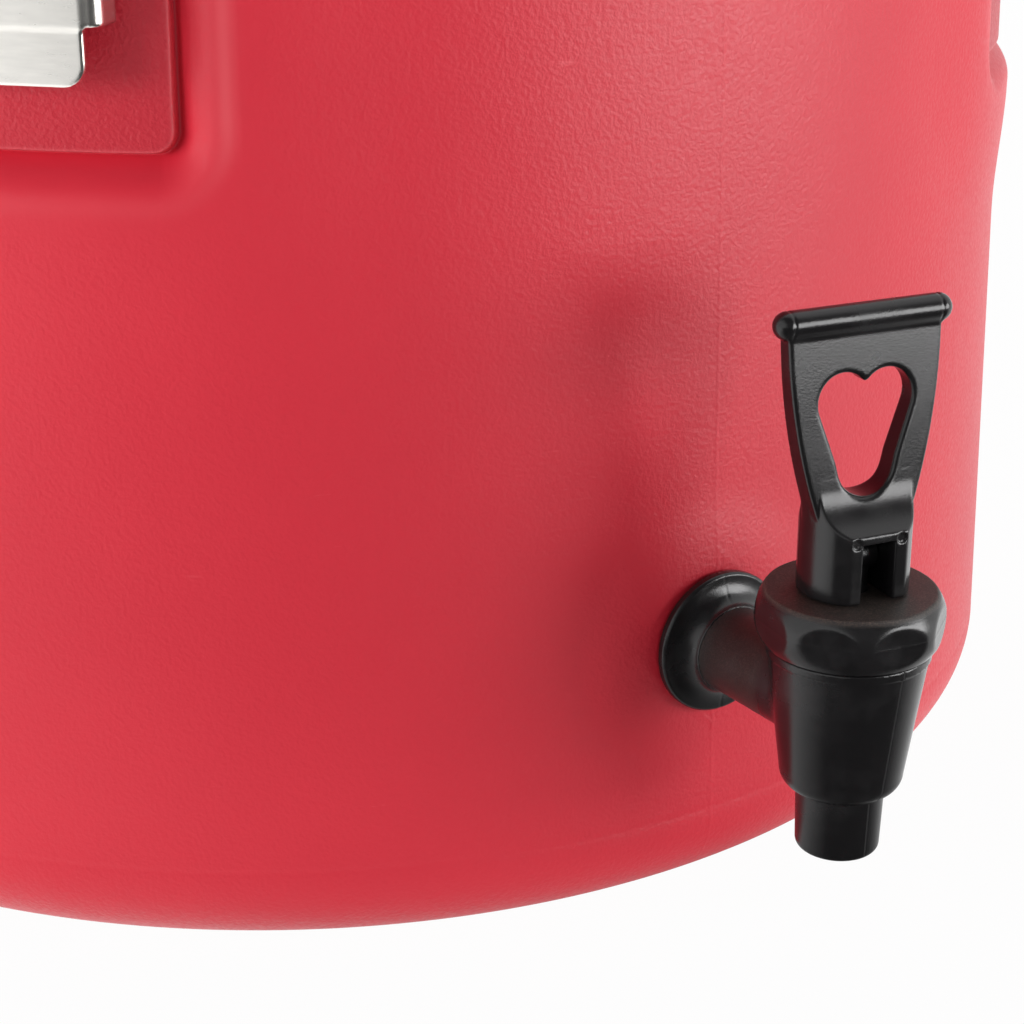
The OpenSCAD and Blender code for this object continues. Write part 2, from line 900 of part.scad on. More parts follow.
module tap_lever() {
    color("#1d1d1f")
        at_lever()
            difference() {
                union() {
                    intersection() {
                        front_prism(-foot_r, foot_r)
                            shield_outline(crease_z - 1, bar_z + 1);
                        side_prism(lever_w)
                            plate_profile();
                    }
                    translate([-bar_l / 2 + bar_d / 2, bar_y, bar_z])
                        rotate([0, 90, 0])
                            cylinder(h = bar_l - bar_d, r = bar_d / 2);
                    for (s = [-1, 1])
                        translate([s * (bar_l - bar_d) / 2, bar_y, bar_z])
                            sphere(r = bar_d / 2);
                    intersection() {
                        translate([0, 0, foot_z])
                            cylinder(h = scoop_z - foot_z + 1, r = foot_r);
                        side_prism(foot_r + 1)
                            foot_profile();
                    }
                }
                front_prism(-foot_r, 2 * foot_r)
                    heart_outline();
                translate([-slot_w / 2, -foot_r - 1, foot_z - 1])
                    cube([slot_w, foot_r + 1 + eye_r + 2 * run_gap, slot_h + 1]);
                translate([-pin_half - run_gap, 0, pin_z])
                    rotate([0, 90, 0])
                        cylinder(h = 2 * (pin_half + run_gap), r = pin_r + pin_gap);
            }
}

module lever_pin() {
    color("gainsboro")
        at_lever()
            translate([-pin_half, 0, pin_z])
                rotate([0, 90, 0])
                    cylinder(h = 2 * pin_half, r = pin_r);
}

module shank_seal() {
    color("#3a3a3c")
        difference() {
            intersection() {
                along_tap(tank_r - seal_t, liner_r, shank_nut_r - 1, shank_nut_r - 1);
                cylinder(h = 2 * shank_z, r = tank_r, $fn = fine);
            }
            along_tap(shank_end, tap_seat_y, shank_r + run_gap, shank_r + run_gap);
        }
}

module shank_nut() {
    color("#e4e2da")
        difference() {
            translate([0, -tank_r + seal_t + shank_nut_h, shank_z])
                rotate([90, 0, 0])
                    cylinder(h = shank_nut_h, r = shank_nut_r, $fn = 6);
            along_tap(shank_end, tap_seat_y, shank_r, shank_r);
        }
}

outer_shell();
inner_liner();
foam_fill();
base_plug();
lid_shell();
lid_plug();
lid_foam();
lid_gasket();
lid_keepers();
keeper_rivets();
vent_cap();
vent_seal();
for (i = LATCHES) {
    latch_base(i);
    latch_lever(i);
    latch_hook(i);
    hook_pin(i);
}
latch_pivots();
latch_rivets();
tap_washer();
tap_collar();
tap_body();
tap_bonnet();
tap_stem();
seat_cup();
tap_spring();
tap_lever();
lever_pin();
shank_seal();
shank_nut();
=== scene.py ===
"""Dresses the insulated beverage dispenser: a red moulded tub and lid, steel latches and a black lever tap.

Shapes are worked out in millimetres, in the frame's own axes, and turned to metres when a mesh is made.
"""

import math

import bmesh
import bpy
import numpy as np
from mathutils import Euler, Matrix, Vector


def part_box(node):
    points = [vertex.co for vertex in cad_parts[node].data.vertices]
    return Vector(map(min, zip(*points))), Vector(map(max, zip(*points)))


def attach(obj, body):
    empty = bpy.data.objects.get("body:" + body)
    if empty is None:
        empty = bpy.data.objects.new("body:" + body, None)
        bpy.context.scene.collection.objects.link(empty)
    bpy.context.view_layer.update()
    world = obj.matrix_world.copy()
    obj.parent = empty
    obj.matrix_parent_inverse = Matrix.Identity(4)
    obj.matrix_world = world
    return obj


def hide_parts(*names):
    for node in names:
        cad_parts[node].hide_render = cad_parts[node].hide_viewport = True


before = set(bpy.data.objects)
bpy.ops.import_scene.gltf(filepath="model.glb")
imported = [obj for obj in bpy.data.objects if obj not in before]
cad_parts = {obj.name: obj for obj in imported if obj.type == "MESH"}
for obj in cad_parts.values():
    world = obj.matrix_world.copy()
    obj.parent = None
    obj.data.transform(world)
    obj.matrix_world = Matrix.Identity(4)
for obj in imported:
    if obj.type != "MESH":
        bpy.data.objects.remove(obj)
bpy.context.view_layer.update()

MM = 0.001

# How often a mesh's points are pulled onto its surface, and the flattest slope taken as it is
PULLS = 4
LEAST_SLOPE = 0.2

# Places at which a density of rows or columns is read
DENSITY_PLACES = 20001


def node_box(name):
    """A node's lowest and highest corner in millimetres."""
    low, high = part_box(name)
    return np.array(low) / MM, np.array(high) / MM


# Sizes read from the frame
SHELL_HIGH = node_box("outer_shell")[1]
LID_LOW, LID_HIGH = node_box("lid_shell")
VENT_LOW, VENT_HIGH = node_box("vent_cap")
PLUG_LOW, PLUG_HIGH = node_box("base_plug")
WASHER_LOW, WASHER_HIGH = node_box("tap_washer")
COLLAR_LOW, COLLAR_HIGH = node_box("tap_collar")
BODY_LOW, BODY_HIGH = node_box("tap_body")
BONNET_LOW, BONNET_HIGH = node_box("tap_bonnet")
LEVER_LOW, LEVER_HIGH = node_box("tap_lever")

# Tub
BODY_R = SHELL_HIGH[0]
RIM_Z = SHELL_HIGH[2]
DRAFT = math.tan(math.radians(1.5))
BASE_FILLET = 20.0
SHELL_WALL = 4.0
RIM_ROUND = 1.6
LATCH_ANGLES = (-45, 45, 135, -135)

# Latch recesses, measured from the plain wall
PAD_HALF = 31.5
PAD_Z = 174.0
PAD_CORNER = 4.5
PAD_LEVEL = -0.5
PAD_PAST_RIM = 60.0
GROOVE_LEVEL = -3.6
LIP_LEVEL = 2.2
LIP_AT = 9.4
LIP_REACH = 34.0
GROOVE_AT = 0.5
PAD_EDGE = (-0.45, 0.35)
SMOOTH_BAND = (LIP_AT + 12, LIP_AT - 1)
# Where the pale marks run: wear with a painted highlight along the lip's crest, and a painted highlight along the
# pad's edge
CREST_AT, CREST_WIDTH = LIP_AT + 0.6, 1.7
EDGE_AT, EDGE_WIDTH = -0.45, 0.35

# Hand holds
HOLD_HALF_W = 56.0
HOLD_HALF_H = 17.0
HOLD_Z = 186.0
HOLD_DEPTH = 22.0
HOLD_CORNER = 14.0
HOLD_EDGE = (2.5, -7.5)
HOLD_ANGLES = (-90, 90)

# Mould seams: height or depth, then half width
UPRIGHT_SEAM = (0.06, 0.45)
BASE_SEAM = (0.12, 0.7)
BASE_SEAM_Z = 22.5
MITRE_SEAM = (0.08, 0.6)

# The flat floors of the hand holds and the tap's seat lie within this turn from their middles, in radians
RELIEF_TURN = 0.5

# Spacing of the tub's grid, from the plain wall to the sharpest edges
PLAIN_STEP = 3.0
LATCH_STEP = 1.6
HOLD_STEP = 0.9
HOLD_ROW = 0.8
TAP_STEP = 0.6
BEND_STEP = 0.5
RIM_STEP = 0.4
EDGE_STEP = 0.2
FILLET_ROWS = 25
FOAM_HOLE_R = 16.0
FOAM_HOLE_SIDES = 64

# Tap
TAP_Y = (BONNET_LOW[1] + BONNET_HIGH[1]) / 2
SHANK_Z = (COLLAR_LOW[2] + COLLAR_HIGH[2]) / 2
SEAT_Y = WASHER_HIGH[1]
SEAT_R = 15.6
SEAT_REACH = 34.0
MITRE_AT = 20.6
SHANK_R = 9.4
OUTLET_R = 6.0
CHAMBER_R = 10.6
LEVER_TURN = math.radians(-9)


def wall_radius(z):
    """Radius of the plain drafted wall at a height."""
    return BODY_R - (z - BASE_FILLET) * DRAFT


def round_from(turn, angle):
    """How far a place lies round the tub from an angle in degrees, in radians from minus to plus half a turn."""
    return (turn - math.radians(angle) + math.pi) % (2 * math.pi) - math.pi


def within_pitch(turn, count):
    """An angle measured from the nearest of some evenly spaced directions."""
    pitch = 2 * math.pi / count
    return (turn + pitch / 2) % pitch - pitch / 2


def ridge(away, width):
    """A soft ridge of height 1 where the distance is 0."""
    return np.exp(-(away / width) ** 2)


def smoothstep(a, b, v):
    """A soft step from 0 at a to 1 at b."""
    t = np.clip((v - a) / (b - a), 0, 1)
    return t * t * (3 - 2 * t)


# Distance fields

def smooth_min(a, b, k):
    """The lesser of two fields, with a fillet of about this size where they meet."""
    h = np.maximum(k - np.abs(a - b), 0) / k
    return np.minimum(a, b) - h * h * k / 4


def smooth_max(a, b, k):
    """The greater of two fields, with a rounded edge of about this size where they meet."""
    return -smooth_min(-a, -b, k)


def block(x, y, z, low, high, rounding=0.0):
    """Distance to a box with rounded edges."""
    gaps = [
        np.abs(v - (lo + hi) / 2) - (hi - lo) / 2 + rounding
        for v, lo, hi in zip((x, y, z), low, high)
    ]
    outside = np.sqrt(sum(np.maximum(g, 0) ** 2 for g in gaps))
    return outside + np.minimum(np.maximum.reduce(gaps), 0) - rounding


def drum(p, q, s, radius, s0, s1, rounding=0.0):
    """Distance to a round bar along s with rounded rims."""
    side = np.hypot(p, q) - radius + rounding
    end = np.abs(s - (s0 + s1) / 2) - (s1 - s0) / 2 + rounding
    outside = np.hypot(np.maximum(side, 0), np.maximum(end, 0))
    return outside + np.minimum(np.maximum(side, end), 0) - rounding


def round_rectangle(p, q, half_p, half_q, corner):
    """Signed distance to a rounded rectangle round the origin."""
    a = np.abs(p) - half_p + corner
    b = np.abs(q) - half_q + corner
    outside = np.hypot(np.maximum(a, 0), np.maximum(b, 0))
    return outside + np.minimum(np.maximum(a, b), 0) - corner


def polygon_distance(p, q, points):
    """Signed distance to a closed outline."""
    inside = np.zeros(p.shape, bool)
    best = np.full(p.shape, np.inf)
    for (ap, aq), (bp, bq) in zip(points, points[1:] + points[:1]):
        ep, eq = bp - ap, bq - aq
        t = np.clip(((p - ap) * ep + (q - aq) * eq) / (ep * ep + eq * eq), 0, 1)
        best = np.minimum(best, np.hypot(p - ap - t * ep, q - aq - t * eq))
        if eq:
            inside ^= ((aq > q) != (bq > q)) & (p < ap + (q - aq) * ep / eq)
    return np.where(inside, -best, best)


def arc(cp, cq, radius, a0, a1, steps=10):
    """Points of a round stretch of an outline, angles in degrees."""
    return [
        (cp + radius * math.cos(math.radians(a)), cq + radius * math.sin(math.radians(a)))
        for a in np.linspace(a0, a1, steps + 1)
    ]


def tapered_capsule(p, q, a, b, ra, rb):
    """Signed distance to the outline round two circles of different size."""
    span = math.hypot(b[0] - a[0], b[1] - a[1])
    np_, nq = (b[0] - a[0]) / span, (b[1] - a[1]) / span
    along = (p - a[0]) * np_ + (q - a[1]) * nq
    across = np.abs((q - a[1]) * np_ - (p - a[0]) * nq)
    slope = (ra - rb) / span
    rise = math.sqrt(1 - slope * slope)
    k = -slope * across + rise * along
    side = rise * across + slope * along - ra
    return np.where(
        k < 0,
        np.hypot(across, along) - ra,
        np.where(k > rise * span, np.hypot(across, along - span) - rb, side),
    )


def surface_net(field, low, high, step):
    """Closed mesh of the region where the field is negative, with each vertex pulled onto its surface."""
    axes = [np.arange(lo - 2 * step, hi + 3 * step, step) for lo, hi in zip(low, high)]
    values = field(*np.meshgrid(*axes, indexing="ij"))
    inside = values < 0
    count = sum(
        inside[i:i - 1 or None, j:j - 1 or None, k:k - 1 or None].astype(np.int8)
        for i in (0, 1) for j in (0, 1) for k in (0, 1)
    )
    cells = np.argwhere((count > 0) & (count < 8))
    number = np.full(count.shape, -1)
    number[tuple(cells.T)] = np.arange(len(cells))

    corners = [(i, j, k) for i in (0, 1) for j in (0, 1) for k in (0, 1)]
    at = {c: values[tuple((cells + c).T)] for c in corners}
    total = np.zeros((len(cells), 3))
    hits = np.zeros(len(cells))
    for c in corners:
        for axis in range(3):
            if c[axis]:
                continue
            far = tuple(1 if n == axis else v for n, v in enumerate(c))
            va, vb = at[c], at[far]
            cross = (va < 0) != (vb < 0)
            t = np.where(cross, va / np.where(cross, va - vb, 1), 0)
            place = np.array(c, float)[None, :].repeat(len(cells), 0)
            place[:, axis] += t
            total += place * cross[:, None]
            hits += cross
    points = np.array([a[0] for a in axes]) + (cells + total / hits[:, None]) * step

    faces = []
    for axis in range(3):
        u, v = (axis + 1) % 3, (axis + 2) % 3
        near = np.take(inside, range(inside.shape[axis] - 1), axis)
        far = np.take(inside, range(1, inside.shape[axis]), axis)
        edges = np.argwhere(near != far)
        leaving = near[tuple(edges.T)]
        quad = []
        for du, dv in ((-1, -1), (0, -1), (0, 0), (-1, 0)):
            cell = edges.copy()
            cell[:, u] += du
            cell[:, v] += dv
            quad.append(number[tuple(cell.T)])
        quad = np.stack(quad, 1)
        quad[~leaving] = quad[~leaving][:, ::-1]
        faces.append(quad)

    eps = step / 20
    for _ in range(PULLS):
        value = field(*points.T)
        slope = np.stack([
            field(*(points + eps * d).T) - field(*(points - eps * d).T) for d in np.eye(3)
        ], 1) / (2 * eps)
        steep = np.maximum((slope ** 2).sum(1), LEAST_SLOPE)
        move = slope * (value / steep)[:, None]
        length = np.linalg.norm(move, axis=1, keepdims=True)
        points -= move * np.minimum(1, 0.5 * step / np.maximum(length, 1e-9))
    return points, np.concatenate(faces)


# Making pieces

def make_piece(name, points, faces, body, nodes, slot, material):
    """A smooth mesh piece from points in millimetres, riding on a body and standing for CAD nodes."""
    mesh = bpy.data.meshes.new(name)
    mesh.from_pydata((np.asarray(points) * MM).tolist(), [], [list(map(int, f)) for f in faces])
    mesh.polygons.foreach_set("use_smooth", [True] * len(mesh.polygons))
    mesh.update()
    piece = bpy.data.objects.new(name, mesh)
    bpy.context.collection.objects.link(piece)
    piece.data.materials.append(material)
    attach(piece, body)
    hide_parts(*nodes)
    return piece


def add_attribute(piece, name, values):
    """A number at each vertex for the piece's material to read."""
    attribute = piece.data.attributes.new(name, "FLOAT", "POINT")
    attribute.data.foreach_set("value", values)


def spaced(start, end, density):
    """Places from start to end whose spacing follows a density function."""
    fine = np.linspace(start, end, DENSITY_PLACES)
    weight = np.cumsum(density(fine))
    weight = (weight - weight[0]) / (weight[-1] - weight[0])
    total = np.mean(density(fine)) * (end - start)
    return np.interp(np.linspace(0, 1, int(total) + 1), weight, fine)


# Materials

def srgb(r, g, b):
    """A colour written as screen values from 0 to 255."""
    return tuple(
        (c / 255 / 12.92) if c / 255 <= 0.04045 else ((c / 255 + 0.055) / 1.055) ** 2.4 for c in (r, g, b)
    ) + (1.0,)


def scaled(colour, factor, lift=0.0):
    """A lighter or darker tone of a colour."""
    return tuple(min(1.0, c * factor + lift) for c in colour[:3]) + (1.0,)


def add_range(tree, value, low, high, first, last):
    """A value carried from one range to another."""
    node = tree.nodes.new("ShaderNodeMapRange")
    for key, number in (("From Min", low), ("From Max", high), ("To Min", first), ("To Max", last)):
        if isinstance(number, float):
            node.inputs[key].default_value = number
        else:
            tree.links.new(number, node.inputs[key])
    tree.links.new(value, node.inputs["Value"])
    return node.outputs["Result"]


def toward(tree, place, direction, low, high, first, last):
    """A brightness that grows along a direction."""
    node = tree.nodes.new("ShaderNodeVectorMath")
    node.operation = "DOT_PRODUCT"
    node.inputs[1].default_value = direction
    tree.links.new(place, node.inputs[0])
    return add_range(tree, node.outputs["Value"], low, high, first, last)


def combine(tree, operation, a, b):
    """One value from two, by a Math node."""
    node = tree.nodes.new("ShaderNodeMath")
    node.operation = operation
    tree.links.new(a, node.inputs[0])
    tree.links.new(b, node.inputs[1])
    return node.outputs["Value"]


class Nodes:
    """Short calls for building a material's node tree."""

    def __init__(self, name):
        self.material = bpy.data.materials.new(name)
        self.material.use_nodes = True
        self.tree = self.material.node_tree
        self.shader = self.tree.nodes["Principled BSDF"]
        self.place = self.add("ShaderNodeTexCoord").outputs["Object"]

    def add(self, kind, **inputs):
        node = self.tree.nodes.new(kind)
        for key, value in inputs.items():
            node.inputs[key.replace("_", " ")].default_value = value
        return node

    def link(self, a, b):
        self.tree.links.new(a, b)

    def set(self, **values):
        for key, value in values.items():
            self.shader.inputs[key.replace("_", " ")].default_value = value

    def noise(self, scale, detail=2.0, roughness=0.5, stretch=None):
        node = self.add("ShaderNodeTexNoise", Scale=scale, Detail=detail, Roughness=roughness)
        place = self.place
        if stretch:
            mapping = self.add("ShaderNodeMapping", Scale=stretch)
            self.link(place, mapping.inputs["Vector"])
            place = mapping.outputs["Vector"]
        self.link(place, node.inputs["Vector"])
        return node.outputs["Fac"]

    def attribute(self, name):
        node = self.add("ShaderNodeAttribute")
        node.attribute_name = name
        return node.outputs["Fac"]

    def ramp(self, fac, low, high, first, last):
        return add_range(self.tree, fac, low, high, first, last)

    def multiply(self, a, b):
        return combine(self.tree, "MULTIPLY", a, b)

    def add_up(self, a, b):
        return combine(self.tree, "ADD", a, b)

    def mix(self, fac, first, last):
        node = self.tree.nodes.new("ShaderNodeMix")
        node.data_type = "RGBA"
        self.link(fac, node.inputs["Factor"])
        # A Mix node's colour sockets share their names with others, so they go by number
        for value, key in ((first, 6), (last, 7)):
            if isinstance(value, tuple):
                node.inputs[key].default_value = value
            else:
                self.link(value, node.inputs[key])
        return node.outputs[2]

    def bump(self, height, strength, distance, before=None):
        node = self.add("ShaderNodeBump", Distance=distance)
        if isinstance(strength, float):
            node.inputs["Strength"].default_value = strength
        else:
            self.link(strength, node.inputs["Strength"])
        self.link(height, node.inputs["Height"])
        if before is not None:
            self.link(before, node.inputs["Normal"])
        self.link(node.outputs["Normal"], self.shader.inputs["Normal"])
        return node.outputs["Normal"]


def moulded_red(name, colour, deep, pale):
    """Rotomoulded polyethylene: an orange-peel skin, faint clouding, a few pale scuffs, painted shade on the latch
    pads, pale wear with a painted highlight on the lip's crest, and a painted highlight along the pads' edges.
    """
    m = Nodes(name)
    # A darker tone of the deep red: painted shade for the latch pads, standing in for the latch's shadow on them
    pad_painted_shade = scaled(deep, 0.7)
    cloud = m.ramp(m.noise(9.0, 3.0), 0.35, 0.65, 0.0, 1.0)
    base = m.mix(cloud, colour, deep)
    scuff = m.ramp(m.noise(38.0, 5.0, 0.7, (1.0, 1.0, 7.0)), 0.69, 0.78, 0.0, 0.35)
    base = m.mix(scuff, base, pale)
    # Where the grain attribute is 1, on the latch pads, the colour moves to that darker tone: painted shade
    base = m.mix(m.ramp(m.attribute("grain"), 0.0, 1.0, 0.0, 0.6), base, pad_painted_shade)
    # The attribute read here pales the skin: wear with a painted highlight on the lip's crest, and a painted
    # highlight along the pads' edges
    m.link(m.mix(m.ramp(m.attribute("wear_and_highlight"), 0.0, 1.0, 0.0, 0.35), base, pale), m.shader.inputs["Base Color"])
    grain = m.noise(1050.0, 2.0, 0.5)
    m.link(m.ramp(grain, 0.3, 0.7, 0.38, 0.50), m.shader.inputs["Roughness"])
    wave = m.bump(m.noise(70.0, 2.0), 0.08, 0.002)
    m.bump(grain, m.ramp(m.attribute("grain"), -1.0, 1.0, 0.02, 0.38), 0.0008, wave)
    m.set(Specular_IOR_Level=0.45)
    return m.material


# A vertex value of SEAM_MARK lies on a seam, and the value grows by one for each millimetre across it
SEAM_MARK = 5.0
DUST = srgb(92, 78, 71)


def moulded_black(name, colour, roughness, grain_strength):
    """Black moulded plastic with a fine grain and slight handling dullness."""
    m = Nodes(name)
    dust = m.ramp(m.noise(60.0, 4.0, 0.65), 0.45, 0.75, 0.0, 1.0)
    lighter = scaled(colour, 1.8, 0.004)
    base = m.mix(dust, colour, lighter)
    dull = m.attribute("dust")
    speck = m.ramp(m.noise(2600.0, 4.0, 0.8), 0.46, 0.72, 0.12, 1.0)
    amount = m.multiply(dull, speck)
    m.link(m.mix(amount, base, DUST), m.shader.inputs["Base Color"])
    beside = m.ramp(m.attribute("seam"), SEAM_MARK - 1, SEAM_MARK + 1, -1.0, 1.0)
    line = m.ramp(m.multiply(beside, beside), 0.01, 0.04, 0.7, 0.0)
    gloss = m.add_up(m.ramp(dust, 0.0, 1.0, roughness, roughness + 0.12), m.ramp(dull, 0.0, 1.0, 0.0, 0.34))
    m.link(m.add_up(gloss, line), m.shader.inputs["Roughness"])
    m.bump(m.noise(2600.0, 2.0), grain_strength, 0.0003)
    m.set(Specular_IOR_Level=0.55)
    return m.material


def rolled_steel(name, colour, roughness):
    """Stainless sheet with a faint rolled grain."""
    m = Nodes(name)
    lines = m.noise(160.0, 4.0, 0.6, (1.0, 1.0, 5.0))
    m.link(m.mix(m.ramp(lines, 0.35, 0.65, 0.0, 1.0), colour, scaled(colour, 0.95)),
           m.shader.inputs["Base Color"])
    m.link(m.ramp(lines, 0.3, 0.7, roughness, roughness + 0.04), m.shader.inputs["Roughness"])
    m.bump(lines, 0.015, 0.0003)
    m.set(Metallic=1.0)
    return m.material


def soft_matt(name, colour, roughness, scale, strength):
    """Rubber, foam or matt plastic: a fine open grain in one tone and its shade."""
    m = Nodes(name)
    grain = m.noise(scale, 3.0)
    m.link(m.mix(m.ramp(grain, 0.3, 0.7, 0.0, 1.0), colour, scaled(colour, 0.8)),
           m.shader.inputs["Base Color"])
    m.link(m.ramp(grain, 0.3, 0.7, roughness - 0.05, roughness + 0.05), m.shader.inputs["Roughness"])
    m.bump(grain, strength, 0.0004)
    return m.material


RED = moulded_red("red_shell", srgb(204, 40, 56), srgb(196, 35, 52), srgb(224, 104, 110))
LINER = moulded_red("red_liner", srgb(186, 42, 55), srgb(176, 37, 50), srgb(205, 92, 98))
BLACK = moulded_black("black_plastic", srgb(18, 17, 18), 0.22, 0.08)
RUBBER = soft_matt("rubber", srgb(38, 36, 36), 0.62, 1400.0, 0.15)
WHITE = soft_matt("white_plastic", srgb(226, 223, 214), 0.42, 900.0, 0.06)
FOAM = soft_matt("foam", srgb(226, 212, 172), 0.85, 500.0, 0.4)
STEEL = rolled_steel("stainless", srgb(244, 241, 235), 0.24)

SLOT_MATERIAL = {
    "red_shell": RED,
    "red_liner": LINER,
    "foam": FOAM,
    "black_plastic": BLACK,
    "rubber": RUBBER,
    "white_plastic": WHITE,
    "stainless": STEEL,
}
CAD_SLOT = {
    "inner_liner": "red_liner",
    "foam_fill": "foam",
    "base_plug": "red_liner",
    "lid_plug": "red_liner",
    "lid_foam": "foam",
    "lid_gasket": "rubber",
    "vent_seal": "rubber",
    "tap_stem": "black_plastic",
    "seat_cup": "rubber",
    "tap_spring": "stainless",
    "lever_pin": "stainless",
    "shank_seal": "rubber",
    "shank_nut": "white_plastic",
    "latch_pivots": "stainless",
    "latch_rivets": "stainless",
    "keeper_rivets": "stainless",
    **{f"hook_pin_{number}": "stainless" for number in range(1, len(LATCH_ANGLES) + 1)},
}
for node_name, slot_name in CAD_SLOT.items():
    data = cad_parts[node_name].data
    data.materials.clear()
    data.materials.append(SLOT_MATERIAL[slot_name])


# Tub shell: a fine grid over the wall, pushed in and out where the mould is

def recess_distance(turn, z, angle):
    """Distance along the wall from the edge of a latch pad, negative on the pad."""
    off = round_from(turn, angle)
    top = RIM_Z + PAD_PAST_RIM
    middle, half = (PAD_Z + top) / 2, (top - PAD_Z) / 2
    return round_rectangle(off * wall_radius(z), z - middle, PAD_HALF, half, PAD_CORNER)


def latch_relief(turn, z):
    """Pad, groove and soft lip of the latch recesses, open at the rim."""
    relief = np.zeros(np.broadcast(turn, z).shape)
    for angle in LATCH_ANGLES:
        q = recess_distance(turn, z, angle)
        rise = np.sin(np.clip((q - GROOVE_AT) / (LIP_AT - GROOVE_AT), 0, 1) * math.pi / 2)
        inner = GROOVE_LEVEL + (LIP_LEVEL - GROOVE_LEVEL) * rise
        inner = PAD_LEVEL + (inner - PAD_LEVEL) * smoothstep(*PAD_EDGE, q)
        fall = smoothstep(LIP_AT, LIP_AT + LIP_REACH, q)
        relief += np.where(q < LIP_AT, inner, LIP_LEVEL * (1 - fall))
    return relief


def skin_grain_and_pad_shade(turn, z):
    """How coarse the moulded skin is: 1 on the latch pads, -1 on the smooth band round them, 0 elsewhere; the red
    material also darkens the pads with it as painted shade.
    """
    grain = np.zeros(turn.shape)
    for angle in LATCH_ANGLES:
        q = recess_distance(turn, z, angle)
        grain += np.where(q < 0, 1.0, -smoothstep(*SMOOTH_BAND, q))
    return np.clip(grain, -1, 1)


def lip_wear_and_highlight(turn, z):
    """How pale the skin is made: wear with a painted highlight on the crest of the lip, stronger towards the top,
    and a painted highlight along the edge of the pad.
    """
    wear_and_highlight = np.zeros(turn.shape)
    # Stronger towards the top, where the painted highlight on the crest is brightest
    upper = 0.2 + 0.8 * smoothstep(PAD_Z - 8, PAD_Z + 8, z)
    for angle in LATCH_ANGLES:
        q = recess_distance(turn, z, angle)
        wear_and_highlight += upper * ridge(q - CREST_AT, CREST_WIDTH) + ridge(q - EDGE_AT, EDGE_WIDTH)
    return wear_and_highlight


def hold_relief(turn, z):
    """The two moulded hand holds at the sides."""
    relief = np.zeros(np.broadcast(turn, z).shape)
    for angle in HOLD_ANGLES:
        off = round_from(turn, angle)
        q = round_rectangle(off * wall_radius(z), z - HOLD_Z, HOLD_HALF_W, HOLD_HALF_H, HOLD_CORNER)
        floor = (wall_radius(HOLD_Z) - HOLD_DEPTH) / np.cos(np.clip(off, -RELIEF_TURN, RELIEF_TURN))
        relief -= (wall_radius(z) - floor) * smoothstep(*HOLD_EDGE, q)
    return relief


def seat_relief(turn, z):
    """The soft flat boss that the tap's washer bears on."""
    off = round_from(turn, 0)
    across = off * wall_radius(z)
    away = np.hypot(across, z - SHANK_Z)
    flat = -SEAT_Y / np.cos(np.clip(off, -RELIEF_TURN, RELIEF_TURN)) - wall_radius(z)
    height, width = MITRE_SEAM
    mitre = height * ridge(np.abs(across) + np.abs(z - SHANK_Z) - MITRE_AT, width) * (np.abs(off) < 1)
    return flat * smoothstep(SEAT_REACH, SEAT_R, away) + mitre


def mould_line(turn, z):
    """The seam round the base and the faint upright seam through the tap."""
    height, width = UPRIGHT_SEAM
    depth, low_width = BASE_SEAM
    return height * ridge(turn * BODY_R, width) - depth * ridge(z - BASE_SEAM_Z, low_width)


def finer(density, where, step):
    """The density with a smaller spacing in one region."""
    return np.where(where, 1 / step, density)


def turn_density(turn):
    """Columns per radian: close together where the latch recesses, hand holds and tap seat bend."""
    density = np.full(turn.shape, 1 / PLAIN_STEP)
    for angle in LATCH_ANGLES:
        away = np.abs(turn - math.radians(angle)) * BODY_R
        density = finer(density, away < 60, LATCH_STEP)
        density = finer(density, (away > PAD_HALF - 3) & (away < PAD_HALF + 12), BEND_STEP)
        density = finer(density, np.abs(away - PAD_HALF) < 1, EDGE_STEP)
    for angle in HOLD_ANGLES:
        away = np.abs(turn - math.radians(angle)) * BODY_R
        at_end = (away > HOLD_HALF_W - 12) & (away < HOLD_HALF_W + 6)
        density = np.maximum(density, finer(density, at_end, HOLD_STEP))
    across = np.abs(turn) * BODY_R
    density = finer(density, across < SEAT_REACH, TAP_STEP)
    density = finer(density, across < 2, EDGE_STEP)
    return density * BODY_R


def row_density(z):
    """Rows per millimetre of height, close together at the same places."""
    density = np.full(z.shape, 1 / PLAIN_STEP)
    density = finer(density, np.abs(z - SHANK_Z) < 25, TAP_STEP)
    density = finer(density, np.abs(z - HOLD_Z) < 24, HOLD_ROW)
    density = finer(density, (z > PAD_Z - 13) & (z < PAD_Z + 6), BEND_STEP)
    density = finer(density, np.abs(z - PAD_Z) < 1, EDGE_STEP)
    density = finer(density, z < BASE_FILLET + 5, BEND_STEP)
    return finer(density, z > RIM_Z - 3, RIM_STEP)


